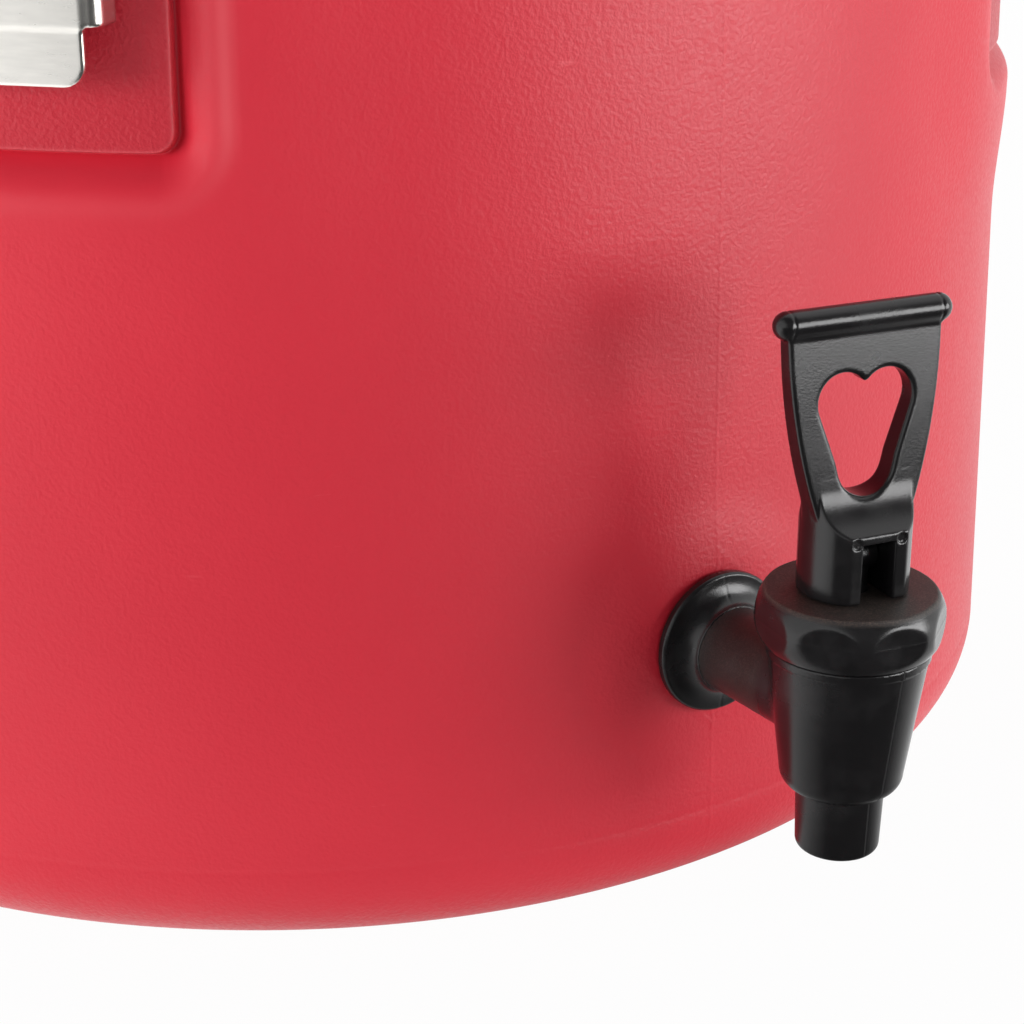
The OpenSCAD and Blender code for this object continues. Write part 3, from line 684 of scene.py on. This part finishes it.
def build_shell():
    """The tub's outer shell: outer and inner skin, rim and base as one closed piece."""
    turns = spaced(-math.pi, math.pi, turn_density)[:-1]
    heights = spaced(BASE_FILLET, RIM_Z, row_density)
    bend = np.radians(np.linspace(-90, 0, FILLET_ROWS + 1))[:-1]
    fillet_r = BODY_R - BASE_FILLET + BASE_FILLET * np.cos(bend)
    fillet_z = BASE_FILLET + BASE_FILLET * np.sin(bend)
    z = np.concatenate([fillet_z, heights])
    plain = np.concatenate([fillet_r, wall_radius(heights)])
    over = np.clip((z - RIM_Z + RIM_ROUND) / RIM_ROUND, 0, 1)
    plain = plain - RIM_ROUND * (1 - np.sqrt(1 - over ** 2))

    turn_grid, z_grid = np.meshgrid(turns, z)
    relief = latch_relief(turn_grid, z_grid) + hold_relief(turn_grid, z_grid)
    relief += seat_relief(turn_grid, z_grid) + mould_line(turn_grid, z_grid)
    relief *= smoothstep(0, BASE_FILLET, z_grid)
    outer = plain[:, None] + relief
    inner = outer - SHELL_WALL
    inner_z = np.maximum(z_grid, SHELL_WALL)

    def skin(radius, height):
        return np.stack([radius * np.sin(turn_grid), -radius * np.cos(turn_grid), height], 2).reshape(-1, 3)

    rows, columns = turn_grid.shape
    count = rows * columns
    index = np.arange(count).reshape(rows, columns)
    right = np.roll(index, -1, 1)
    outside = np.stack([index[:-1], right[:-1], right[1:], index[1:]], 2).reshape(-1, 4)
    inside = outside[:, ::-1] + count
    rim = np.stack([index[-1], right[-1], right[-1] + count, index[-1] + count], 1)
    points = np.concatenate([skin(outer, z_grid), skin(inner, inner_z)])

    # The base: a flat disc with the foaming hole, below and above
    hole = (PLUG_HIGH[:2] + PLUG_LOW[:2]) / 2
    sides = FOAM_HOLE_SIDES
    circle = np.linspace(0, 2 * math.pi, sides, endpoint=False)
    ring = hole + FOAM_HOLE_R * np.stack([np.cos(circle), np.sin(circle)], 1)
    first = len(points)
    points = np.concatenate([
        points,
        np.column_stack([ring, np.zeros(sides)]),
        np.column_stack([ring, np.full(sides, SHELL_WALL)]),
    ])
    low_ring = first + np.arange(sides)
    wall = np.stack([low_ring, low_ring + sides, np.roll(low_ring, -1) + sides, np.roll(low_ring, -1)], 1)

    piece = make_piece("tub_shell", points, np.concatenate([outside, inside, rim, wall]),
                       "tub", ["outer_shell"], "red_shell", RED)
    cells = bmesh.new()
    cells.from_mesh(piece.data)
    cells.verts.ensure_lookup_table()
    for edge_ring, hole_ring in ((index[0], low_ring), (index[0] + count, low_ring + sides)):
        edges = []
        for loop in (edge_ring, hole_ring):
            for a, b in zip(loop, np.roll(loop, -1)):
                edges.append(cells.edges.get((cells.verts[int(a)], cells.verts[int(b)])))
        made = bmesh.ops.triangle_fill(cells, edges=edges, use_beauty=True)
        for item in made["geom"]:
            if isinstance(item, bmesh.types.BMFace):
                item.smooth = False
    bmesh.ops.recalc_face_normals(cells, faces=cells.faces)
    cells.to_mesh(piece.data)
    cells.free()
    # The grain attribute also carries the painted shade on the latch pads
    # The pale attribute marks wear with a painted highlight on the lip's crest, and a painted highlight along the
    # pads' edges
    for name, values in (("grain", skin_grain_and_pad_shade(turn_grid, z_grid)), ("wear_and_highlight", lip_wear_and_highlight(turn_grid, z_grid))):
        full = np.zeros(len(piece.data.vertices))
        full[:count] = values.ravel()
        add_attribute(piece, name, full)


build_shell()


# Lid shell

LID_R = LID_HIGH[0]
LID_Z = LID_LOW[2]
LID_TOP = LID_HIGH[2]
LID_ROUND = 16.0
LID_WALL = 3.5
VENT_R = (VENT_HIGH[0] - VENT_LOW[0]) / 2
VENT_Y = (VENT_HIGH[1] + VENT_LOW[1]) / 2
VENT_SINK = 5.0
CROWN_DROP = 8.0
CROWN_EDGE = 70.0
PAST = 20.0


def lid_outline(inset):
    """Half of the lid's section: the outside, or with an inset the hollow, which runs out below."""
    low = LID_Z - PAST * (inset > 0)
    return (
        [(-PAST, low), (LID_R - inset, low)]
        + arc(LID_R - LID_ROUND, LID_TOP - LID_ROUND - CROWN_DROP, LID_ROUND - inset, 0, 70)
        + [(LID_R - CROWN_EDGE, LID_TOP - inset), (-PAST, LID_TOP - inset)]
    )


def lid_field(x, y, z):
    """The lid's cover: a crowned shell with a post, a bore and a sunk seat for the vent cap."""
    away = np.hypot(x, y)
    solid = polygon_distance(away, z, lid_outline(0))
    hollow = polygon_distance(away, z, lid_outline(LID_WALL))
    post = np.hypot(x, y - VENT_Y)
    hollow = smooth_max(hollow, VENT_R + 3 - post, 2.0)
    shell = smooth_max(solid, -hollow, 1.2)
    bore = post - VENT_R / 2
    sink = np.maximum(post - VENT_R + 2, LID_TOP - VENT_SINK - z)
    return smooth_max(shell, -np.minimum(bore, sink), 0.8)


make_piece("lid_cover", *surface_net(lid_field, LID_LOW, LID_HIGH, 1.4),
           "lid", ["lid_shell"], "red_shell", RED)


# Tap

BAR_R = 2.8
BAR_HALF = 19.35
BAR_Z = LEVER_HIGH[2] - BAR_R
BAR_Y = 1.47
FOOT_Z = LEVER_LOW[2]
FOOT_R = 11.05
FOOT_FRONT = 9.0
FOOT_FACET = 10.93
FACET_X, FACET_Y = 0.665, 0.747
CREASE_Z = FOOT_Z + 13.9
PLATE_FRONT, PLATE_FRONT_LEAN = -3.9, 0.0963
PLATE_BACK, PLATE_BACK_LEAN = 2.0, 0.0472
SCOOP_R = 10.8
SCOOP_Z = CREASE_Z + 9.7
SCOOP_TURN = math.atan(PLATE_FRONT_LEAN)
SCOOP_TOP = SCOOP_Z - SCOOP_R * math.sin(SCOOP_TURN)
SCOOP_Y = PLATE_FRONT + (SCOOP_TOP - CREASE_Z) * PLATE_FRONT_LEAN - SCOOP_R * math.cos(SCOOP_TURN)
HEEL_Z = CREASE_Z - 6
HEEL_H = 17.3
HEEL_END = -0.95
FOOT_SEAM = (0.12, 0.2)
FOOT_SEAM_Y = 3.2
FOOT_SEAM_X = 6.0
FOOT_SEAM_TOP = CREASE_Z + 8
BAR_SEAM = (0.14, 0.22)
LEVER_HALF = 16.85
LEVER_LOW_HALF = 9.5
SHIELD_POWER = 2.1
PIN_Z = FOOT_Z + 7.2
PIN_R = 1.55
PIN_HALF = 7.9
SLOT_HALF = 3.6
SLOT_H = 12.2
SLOT_BACK = 4.0
HEART_LOBE = 5.65
HEART_LOBE_X = 4.75
HEART_LOBE_Z = FOOT_Z + 38.9
HEART_TIP = 5.8
HEART_TIP_Z = FOOT_Z + 26.1
MARK_X, MARK_DROP, MARK_R, MARK_DEPTH = 5.0, 1.3, 1.0, 0.35


def on_lever(x, y):
    """Across and forward places in the lever's own turned frame, round the tap's axis."""
    y = y - TAP_Y
    c, s = math.cos(LEVER_TURN), math.sin(LEVER_TURN)
    return x * c + y * s, y * c - x * s


def lever_field(x, y, z):
    """The tap lever: a shield-shaped plate with a heart-shaped hole, a cross bar and a slotted round foot."""
    x, y = on_lever(x, y)
    side = np.abs(x)
    rise = z - CREASE_Z
    front = PLATE_FRONT + rise * PLATE_FRONT_LEAN
    back = PLATE_BACK + rise * PLATE_BACK_LEAN
    t = np.clip((rise + 1) / (BAR_Z - CREASE_Z + 2), 0, 1)
    half = LEVER_LOW_HALF + (LEVER_HALF - LEVER_LOW_HALF) * (1 - (1 - t) ** SHIELD_POWER)
    plate = smooth_max(side - half, np.maximum(front - y, y - back), 0.9)
    plate = np.maximum(smooth_max(plate, z - BAR_Z, 0.6), -rise)

    foot = smooth_max(np.hypot(x, y) - FOOT_R, -FOOT_FRONT - y, 0.5)
    foot = smooth_max(foot, side * FACET_X - y * FACET_Y - FOOT_FACET, 0.15)
    heel = FOOT_R + 1 - (FOOT_R + 1 - HEEL_END) * np.clip((z - HEEL_Z) / HEEL_H, 0, 1)
    foot = smooth_max(foot, y - heel, 2.0)
    foot = smooth_max(foot, FOOT_Z - z, 0.6)
    foot = smooth_max(foot, z - SCOOP_Z - 1, 1.0)
    height, width = FOOT_SEAM
    foot = foot - height * ridge(y - FOOT_SEAM_Y, width) * (side > FOOT_SEAM_X) * (z < FOOT_SEAM_TOP)
    scoop = np.hypot(y - SCOOP_Y, z - SCOOP_Z) - SCOOP_R
    above = np.maximum(SCOOP_TOP - z, y - front)
    ahead = np.maximum(-rise, y - SCOOP_Y)
    foot = smooth_max(foot, -np.minimum.reduce([scoop, above, ahead]), 0.5)
    lever = smooth_min(plate, foot, 0.05 + 0.9 * smoothstep(1.0, 3.0, y - front))

    past_end = side - BAR_HALF + BAR_R
    bar = np.sqrt(np.maximum(past_end, 0) ** 2 + (y - BAR_Y) ** 2 + (z - BAR_Z) ** 2) - BAR_R
    depth, width = BAR_SEAM
    bar = bar + depth * ridge(past_end + 0.3, width)
    lever = smooth_min(lever, bar, 0.8)

    lobe, tip = (HEART_LOBE_X, HEART_LOBE_Z), (0.0, HEART_TIP_Z)
    near, far = (tapered_capsule(v, z, lobe, tip, HEART_LOBE, HEART_TIP) for v in (side, -side))
    lever = smooth_max(lever, -smooth_min(near, far, 1.2), 1.0)

    slot = block(x, y, z, (-SLOT_HALF, -20, FOOT_Z - 5), (SLOT_HALF, SLOT_BACK, FOOT_Z + SLOT_H))
    bore = np.maximum(np.hypot(y, z - PIN_Z) - PIN_R, side - PIN_HALF)
    mark = np.maximum(np.hypot(side - MARK_X, rise + MARK_DROP) - MARK_R, y + FOOT_FRONT - MARK_DEPTH)
    return smooth_max(lever, -np.minimum.reduce([slot, bore, mark]), 0.3)


make_piece("lever_handle", *surface_net(lever_field, LEVER_LOW, LEVER_HIGH, 0.3),
           "handle", ["tap_lever"], "black_plastic", BLACK)

CONE_TOP_Z = BODY_HIGH[2]
CONE_R = 16.5
CONE_LOW_R = 12.6
CONE_LOW_Z = SHANK_Z - 12.3
SHOULDER = 4.0
NOZZLE_Z = BODY_LOW[2]
NOZZLE_R = 8.6
NOZZLE_TOP_R = 9.0
NOZZLE_ROUND = 1.5
INSIDE = -8.0
SEAT_CUT_Z = CONE_LOW_Z + 2
SHANK_END = BODY_HIGH[1]


def tap_body_field(x, y, z):
    """The tap's conical body with its spout below and its shank running back through the wall."""
    yl = y - TAP_Y
    away = np.hypot(x, yl)
    cone = polygon_distance(away, z, (
        [(INSIDE, NOZZLE_Z)]
        + arc(NOZZLE_R - NOZZLE_ROUND, NOZZLE_Z + NOZZLE_ROUND, NOZZLE_ROUND, -90, 0)
        + [(NOZZLE_TOP_R, CONE_LOW_Z - SHOULDER - 0.4)]
        + arc(CONE_LOW_R - SHOULDER, CONE_LOW_Z, SHOULDER, -62, 0)
        + [(CONE_R - 0.4, CONE_TOP_Z - 2), (CONE_R, CONE_TOP_Z - 1.9)]
        + [(CONE_R, CONE_TOP_Z), (INSIDE, CONE_TOP_Z)]
    ))
    shank = np.maximum.reduce([np.hypot(x, z - SHANK_Z) - SHANK_R, -yl, y - SHANK_END])
    body = smooth_min(cone, shank, 1.6)
    outlet = np.maximum(away - OUTLET_R, z - SEAT_CUT_Z - 1)
    chamber = np.maximum(away - CHAMBER_R, SEAT_CUT_Z - z)
    feed = np.maximum(np.hypot(x, z - SHANK_Z) - OUTLET_R, -yl)
    return smooth_max(body, -np.minimum.reduce([outlet, chamber, feed]), 0.4)


housing_points, housing_faces = surface_net(tap_body_field, BODY_LOW, BODY_HIGH, 0.4)
housing = make_piece("tap_housing", housing_points, housing_faces,
                     "tub", ["tap_body"], "black_plastic", BLACK)
housing_x, housing_y = housing_points[:, 0], housing_points[:, 1]
cone_back = TAP_Y + CONE_R
add_attribute(housing, "seam", np.where(housing_y < TAP_Y, SEAM_MARK + housing_x, 0))
add_attribute(housing, "dust", 0.4 * smoothstep(cone_back - 1, cone_back + 2, housing_y))

BONNET_R = (BONNET_HIGH[0] - BONNET_LOW[0]) / 2
BONNET_TOP = BONNET_HIGH[2]
BONNET_Z = CONE_TOP_Z + 0.3
BONNET_SKIRT = BONNET_LOW[2]
BONNET_MID = (BONNET_Z + BONNET_TOP) / 2
STEM_BORE = 3.05
SPRING_ROOM = 8.4
FLATS = 8
FLAT_DEPTH = 0.95
BARREL_DROP, BARREL_POWER = 2.0, 2.2
BONNET_SEAM = (0.06, 0.22)


def bonnet_field(x, y, z):
    """The screwed bonnet: a barrel with eight oval finger flats and a mould seam round its middle."""
    y = y - TAP_Y
    away = np.hypot(x, y)
    half = (BONNET_TOP - BONNET_Z) / 2
    grip = polygon_distance(away, z, (
        [(INSIDE, BONNET_Z)]
        + [
            (BONNET_R - BARREL_DROP * abs(t) ** BARREL_POWER, BONNET_MID + t * half)
            for t in np.linspace(-1, 1, 17)
        ]
        + [(INSIDE, BONNET_TOP)]
    ))
    turn = within_pitch(np.arctan2(y, x) - LEVER_TURN, FLATS)
    grip = smooth_max(grip, away * np.cos(turn) - BONNET_R + FLAT_DEPTH, 0.25)
    height, width = BONNET_SEAM
    grip = grip - height * ridge(z - BONNET_MID, width) * (away > SPRING_ROOM + 2)
    skirt = drum(x, y, z, CHAMBER_R - 0.15, BONNET_SKIRT, BONNET_Z + 1)
    bonnet = np.minimum(grip, skirt)
    room = np.maximum(away - SPRING_ROOM, z - BONNET_Z - 4)
    return smooth_max(bonnet, -np.minimum(room, away - STEM_BORE), 0.3)


grip_points, grip_faces = surface_net(bonnet_field, BONNET_LOW, BONNET_HIGH, 0.3)
grip = make_piece("tap_grip", grip_points, grip_faces, "tub", ["tap_bonnet"], "black_plastic", BLACK)
add_attribute(grip, "dust", smoothstep(BONNET_TOP - 1.2, BONNET_TOP - 0.2, grip_points[:, 2]))

COLLAR_R = (COLLAR_HIGH[0] - COLLAR_LOW[0]) / 2
COLLAR_BACK = COLLAR_HIGH[1]
COLLAR_RIM = 1.7
COLLAR_SEAM = (0.08, 0.2)


def collar_field(x, y, z):
    """The collar: a thin rim, then a cove running up to a ring round the shank."""
    out = COLLAR_BACK - y
    away = np.hypot(x, z - SHANK_Z)
    length = COLLAR_BACK - COLLAR_LOW[1]
    wide, deep = COLLAR_R - 1.2 - SHANK_R, length - COLLAR_RIM - 0.5
    ring = polygon_distance(away, out, (
        [(INSIDE, 0.0), (COLLAR_R - 0.3, 0.0), (COLLAR_R, 0.3)]
        + [(COLLAR_R, COLLAR_RIM), (COLLAR_R - 0.5, COLLAR_RIM + 0.5)]
        + [
            (COLLAR_R - 1 - wide * math.cos(a), length - deep * math.sin(a))
            for a in np.linspace(math.pi / 2, 0.05, 12)
        ]
        + [(SHANK_R + 0.2, length), (INSIDE, length)]
    ))
    depth, width = COLLAR_SEAM
    ring = ring + depth * ridge(x, width)
    return smooth_max(ring, SHANK_R - 0.3 - away, 0.1)


make_piece("tap_flange", *surface_net(collar_field, COLLAR_LOW, COLLAR_HIGH, 0.3),
           "tub", ["tap_collar"], "black_plastic", BLACK)


WASHER_R = (WASHER_HIGH[0] - WASHER_LOW[0]) / 2


def washer_field(x, y, z):
    """The rubber washer between the collar and the wall."""
    away = np.hypot(x, z - SHANK_Z)
    ring = drum(x, z - SHANK_Z, y, WASHER_R, WASHER_LOW[1], WASHER_HIGH[1], 0.5)
    return smooth_max(ring, SHANK_R + 0.3 - away, 0.3)


make_piece("tap_gasket", *surface_net(washer_field, WASHER_LOW, WASHER_HIGH, 0.4),
           "tub", ["tap_washer"], "rubber", RUBBER)


VENT_GROOVES = 12
GROOVE_OUT, GROOVE_R = 1.0, 2.4
DISH_UP, DISH_R = 38.0, 39.2


def vent_field(x, y, z):
    """The vent cap: a fluted knob with a dished top on a short spigot."""
    y = y - VENT_Y
    away = np.hypot(x, y)
    cap = drum(x, y, z, VENT_R, LID_TOP + 0.3, VENT_HIGH[2], 1.4)
    turn = within_pitch(np.arctan2(y, x), VENT_GROOVES)
    groove = np.hypot(away * np.cos(turn) - VENT_R - GROOVE_OUT, away * np.sin(turn)) - GROOVE_R
    cap = smooth_max(cap, -groove, 0.8)
    dish = np.sqrt(away ** 2 + (z - VENT_HIGH[2] - DISH_UP) ** 2) - DISH_R
    cap = smooth_max(cap, -dish, 0.8)
    return np.minimum(cap, drum(x, y, z, VENT_R / 2 - 0.3, VENT_LOW[2], LID_TOP + 1))


make_piece("vent_knob", *surface_net(vent_field, VENT_LOW, VENT_HIGH, 0.5),
           "vent", ["vent_cap"], "black_plastic", BLACK)


# Latches, drawn in a frame of x across, u outwards from the pad and z up

PIVOT_Z = 236.0
LATCH_U0 = wall_radius(PIVOT_Z) + PAD_LEVEL
SHEET = 1.5
LEVER_U = 9.0
LATCH_HALF = 22.5
TAB_HALF = 19.0
TAB_Z = 188.0
TAB_H = 11.0
TAB_CORNER = 4.6
FLANGE_U = 2.3
FLANGE_TOP = PIVOT_Z + 4.5
PLATE_TOP = TAB_Z + 24
PIVOT_U = 5.0
HOOK_Z = PIVOT_Z - 14
HOOK_U = 6.05
HOOK_HALF = 11.0
HOOK_EYE = 2.6
BASE_HALF = 18.0
BASE_LOW = PAD_Z + 32
BASE_TOP = RIM_Z - 6
BASE_T = 2.0
KEEPER_TOP = LID_Z + 9
KEEPER_U = 5.0
KEEPER_H = 7.0
KEEPER_HALF = 13.0
KEEPER_ROUND = 2.0
KEEPER_FLANGE = 8.0
SHEET_ROUND = 0.4
BEND_R = 1.1
EAR_R = 3.4
EAR_T = 2.0
WEB_HALF = 7.0
HOOK_BORE = 1.55
HOOK_WINDOW_UP, HOOK_WINDOW_HALF, HOOK_WINDOW_CORNER = 20.0, 13.0, 4.0
BEHIND = -0.4


def latch_lever_field(x, u, z):
    """The bent steel lever: a round-cornered finger tab below a channel with two side flanges."""
    side = np.abs(x)
    tab_top = TAB_Z + TAB_H + 2 * TAB_CORNER
    tab = round_rectangle(x, z - (TAB_Z + tab_top) / 2, TAB_HALF, (tab_top - TAB_Z) / 2, TAB_CORNER)
    tab = smooth_max(tab, np.abs(u - LEVER_U - SHEET / 2) - SHEET / 2, SHEET_ROUND)
    low = TAB_Z + TAB_H
    deep = LEVER_U - FLANGE_U + 10
    outer = round_rectangle(x, u - FLANGE_U + 10, LATCH_HALF, deep + SHEET, BEND_R + SHEET)
    inner = round_rectangle(x, u - FLANGE_U + 10, LATCH_HALF - SHEET, deep, BEND_R)
    channel = smooth_max(outer, -inner, SHEET_ROUND)
    channel = smooth_max(channel, FLANGE_U - u, SHEET_ROUND)
    channel = smooth_max(channel, low - z, SHEET_ROUND)
    flange_end = round_rectangle(u - PIVOT_U, z - PIVOT_Z + 20, 5.6, 24.5, 4.0)
    top = np.where(side > LATCH_HALF - SHEET - 0.8, np.minimum(flange_end, z - PLATE_TOP), z - PLATE_TOP)
    channel = smooth_max(channel, top, SHEET_ROUND)
    return smooth_min(tab, channel, 1.0)


def latch_hook_field(x, u, z):
    """The steel hook: an eye round its pin, a flat strap and a lip over the keeper."""
    tip = KEEPER_TOP + 0.3
    corner = (HOOK_HALF, HOOK_U + SHEET / 2, tip + SHEET)
    strap = block(x, u, z, (-HOOK_HALF, HOOK_U - SHEET / 2, HOOK_Z), corner, 0.3)
    lip = block(x, u, z, (-HOOK_HALF, KEEPER_U - 1.7, tip), corner, 0.3)
    window = round_rectangle(
        x, z - HOOK_Z - HOOK_WINDOW_UP, HOOK_HALF - 5, HOOK_WINDOW_HALF, HOOK_WINDOW_CORNER)
    strap = smooth_max(strap, -window, 0.4)
    eye = drum(u - HOOK_U, z - HOOK_Z, x, HOOK_EYE, -HOOK_HALF, HOOK_HALF, 0.3)
    hook = smooth_min(smooth_min(strap, lip, 0.6), eye, 1.0)
    return smooth_max(hook, HOOK_BORE - np.hypot(u - HOOK_U, z - HOOK_Z), 0.3)


def latch_base_field(x, u, z):
    """The steel base plate on the pad with its two ears."""
    plate = block(x, u, z, (-BASE_HALF, -6, BASE_LOW), (BASE_HALF, BASE_T, BASE_TOP), 0.4)
    ears = drum(u - PIVOT_U, z - PIVOT_Z, np.abs(x), EAR_R, BASE_HALF - EAR_T, BASE_HALF, 0.3)
    web = block(
        np.abs(x), u, z, (BASE_HALF - EAR_T, 0, PIVOT_Z - WEB_HALF), (BASE_HALF, PIVOT_U, PIVOT_Z + WEB_HALF), 0.3)
    base = smooth_min(plate, smooth_min(ears, web, 2.0), 1.0)
    wall = wall_radius(z) + PAD_LEVEL - np.hypot(x, u + LATCH_U0)
    return smooth_max(base, wall, 0.2)


def keeper_field(x, u, z):
    """The steel keeper on the lid: a rolled ledge below a riveted flange."""
    low, high = KEEPER_TOP - KEEPER_H, KEEPER_TOP + KEEPER_FLANGE
    section = polygon_distance(u, z, (
        [(BEHIND, low), (KEEPER_U - 0.6, low), (KEEPER_U, low + 0.6)]
        + arc(KEEPER_U - KEEPER_ROUND, KEEPER_TOP - KEEPER_ROUND, KEEPER_ROUND, 0, 90)
        + [(SHEET, KEEPER_TOP), (SHEET, high), (BEHIND, high)]
    ))
    return smooth_max(section, np.abs(x) - KEEPER_HALF, 0.5)


def place_latch(points, angle):
    """From a latch's own frame to the part's."""
    a = math.radians(angle)
    out = LATCH_U0 + points[:, 1]
    return np.stack([
        points[:, 0] * math.cos(a) + out * math.sin(a),
        points[:, 0] * math.sin(a) - out * math.cos(a),
        points[:, 2],
    ], 1)


# Each kind of latch piece: its name, field, body and the corners of the room it is drawn in
LATCH_PIECES = (
    ("latch_lever", latch_lever_field, "latch_{}",
     (-LATCH_HALF, FLANGE_U, TAB_Z), (LATCH_HALF, LEVER_U + SHEET, FLANGE_TOP)),
    ("latch_hook", latch_hook_field, "hook_{}",
     (-HOOK_HALF, KEEPER_U - 1.7, HOOK_Z - HOOK_EYE), (HOOK_HALF, 8.7, KEEPER_TOP + 1.8)),
    ("latch_base", latch_base_field, "tub",
     (-BASE_HALF, -2, BASE_LOW), (BASE_HALF, PIVOT_U + EAR_R, BASE_TOP)),
)
LATCH_NET_STEP = 0.5
for kind, field, body_name, low_corner, high_corner in LATCH_PIECES:
    net_points, net_faces = surface_net(field, low_corner, high_corner, LATCH_NET_STEP)
    for number, latch_angle in enumerate(LATCH_ANGLES, 1):
        make_piece(f"{kind}.{number}", place_latch(net_points, latch_angle), net_faces,
                   body_name.format(number), [f"{kind}_{number}"], "stainless", STEEL)

net_points, net_faces = surface_net(
    keeper_field, (-KEEPER_HALF, BEHIND, KEEPER_TOP - KEEPER_H),
    (KEEPER_HALF, KEEPER_U, KEEPER_TOP + KEEPER_FLANGE), LATCH_NET_STEP)
all_points = np.concatenate([place_latch(net_points, a) for a in LATCH_ANGLES])
all_faces = np.concatenate([net_faces + n * len(net_points) for n in range(len(LATCH_ANGLES))])
make_piece("keepers", all_points, all_faces, "lid", ["lid_keepers"], "stainless", STEEL)


# Floor, light and camera

FLOOR_REACH = 30.0
FLOOR_SEEN = 0.97
FLOOR_UNSEEN = 0.2

# What gloss mirrors: a direction, the stretch along it where the brightness grows, and its two levels
FLOOR_LEFT = ((-0.342, 0.94, 0.0), -0.216, -0.096, 0.05, 1.25)
FLOOR_RIGHT = ((0.731, 0.682, 0.0), -0.157, -0.037, 0.05, 1.15)
WORLD_RIGHT = ((0.9, 1.0, 0.0), -0.25, 0.1, 0.12, 1.0)
WORLD_LEFT = ((-1.0, 0.0, 0.0), 0.55, 0.8, 0.12, 1.0)

# What matt surfaces get from the surround, dimmer towards the top
WORLD_SOFT = ((0.0, 0.0, 1.0), 0.0, 0.6, 0.52, 0.06)

# Each lamp: name, place, size, power in watts and whether it is mirrored
AIM = (0.0, 0.0, 0.13)
LAMPS = (
    ("right_box", (0.66, -1.17, 0.27), (0.95, 0.54), 12.0, True),
    ("left_box", (-1.6, 0.1, 0.34), (1.3, 0.6), 21.5, False),
    ("front_fill", (-0.5, -2.0, 0.8), (1.5, 1.0), 3.0, False),
    ("top_fill", (0.2, 0.8, 2.0), (1.6, 1.6), 16.0, False),
    ("back_fill", (0.7, 1.7, 0.7), (1.4, 1.0), 16.0, False),
)

CAMERA_SENSOR = 36.0
CAMERA_LENS = 77.34
CAMERA_PLACE = (-0.27165, -0.52633, 0.2598)
CAMERA_TILT, CAMERA_TURN = math.radians(68.97), math.radians(-32.693)

def build_floor():
    """A plain pale floor that reads as white to the camera and keeps a soft shadow."""
    mesh = bpy.data.meshes.new("floor")
    corners = [(a * FLOOR_REACH, b * FLOOR_REACH, 0) for a, b in ((-1, -1), (1, -1), (1, 1), (-1, 1))]
    mesh.from_pydata(corners, [], [(0, 1, 2, 3)])
    floor = bpy.data.objects.new("floor", mesh)
    bpy.context.collection.objects.link(floor)
    material = bpy.data.materials.new("floor")
    material.use_nodes = True
    tree = material.node_tree
    shader = tree.nodes["Principled BSDF"]
    shader.inputs["Base Color"].default_value = (0.86, 0.86, 0.86, 1)
    shader.inputs["Roughness"].default_value = 0.9
    shader.inputs["Specular IOR Level"].default_value = 0.0
    glow = tree.nodes.new("ShaderNodeEmission")
    rays = tree.nodes.new("ShaderNodeLightPath")
    place = tree.nodes.new("ShaderNodeTexCoord").outputs["Object"]
    mirrored = combine(tree, "MAXIMUM", toward(tree, place, *FLOOR_LEFT), toward(tree, place, *FLOOR_RIGHT))
    unseen = add_range(tree, rays.outputs["Is Glossy Ray"], 0.0, 1.0, FLOOR_UNSEEN, 1.0)
    share = add_range(tree, rays.outputs["Is Camera Ray"], 0.0, 1.0, unseen, FLOOR_SEEN)
    strength = add_range(tree, rays.outputs["Is Glossy Ray"], 0.0, 1.0, 1.0, mirrored)
    tree.links.new(strength, glow.inputs["Strength"])
    mix = tree.nodes.new("ShaderNodeMixShader")
    tree.links.new(share, mix.inputs["Fac"])
    tree.links.new(shader.outputs["BSDF"], mix.inputs[1])
    tree.links.new(glow.outputs["Emission"], mix.inputs[2])
    tree.links.new(mix.outputs["Shader"], tree.nodes["Material Output"].inputs["Surface"])
    floor.data.materials.append(material)


def build_world():
    """A studio surround: white to the camera, and to gloss bright at both sides and dim in front of the part."""
    world = bpy.data.worlds.new("studio")
    bpy.context.scene.world = world
    world.use_nodes = True
    tree = world.node_tree
    back = tree.nodes["Background"]
    back.inputs["Color"].default_value = (1, 1, 1, 1)

    rays = tree.nodes.new("ShaderNodeLightPath")
    place = tree.nodes.new("ShaderNodeTexCoord").outputs["Generated"]
    mirrored = combine(tree, "MAXIMUM", toward(tree, place, *WORLD_RIGHT), toward(tree, place, *WORLD_LEFT))
    soft = toward(tree, place, *WORLD_SOFT)
    lit = add_range(tree, rays.outputs["Is Diffuse Ray"], 0.0, 1.0, mirrored, soft)
    strength = add_range(tree, rays.outputs["Is Camera Ray"], 0.0, 1.0, lit, 1.0)
    tree.links.new(strength, back.inputs["Strength"])


def add_area(name, place, size, power, mirrored):
    """A rectangular lamp aimed at the part."""
    light = bpy.data.lights.new(name, "AREA")
    light.shape = "RECTANGLE"
    light.size, light.size_y = size
    light.energy = power
    lamp = bpy.data.objects.new(name, light)
    lamp.location = place
    lamp.rotation_euler = (Vector(AIM) - Vector(place)).to_track_quat("-Z", "Y").to_euler()
    lamp.visible_glossy = mirrored
    bpy.context.collection.objects.link(lamp)


def build_camera():
    """The photograph's viewpoint: the tap at the right, the rim and the left side cut by the frame."""
    camera = bpy.data.cameras.new("camera")
    camera.sensor_width = CAMERA_SENSOR
    camera.lens = CAMERA_LENS
    camera.clip_start = 0.01
    viewer = bpy.data.objects.new("camera", camera)
    viewer.location = CAMERA_PLACE
    viewer.rotation_euler = Euler((CAMERA_TILT, 0.0, CAMERA_TURN))
    bpy.context.collection.objects.link(viewer)
    bpy.context.scene.camera = viewer


build_floor()
build_world()
build_camera()
for lamp_settings in LAMPS:
    add_area(*lamp_settings)
bpy.context.scene.view_settings.view_transform = "Standard"
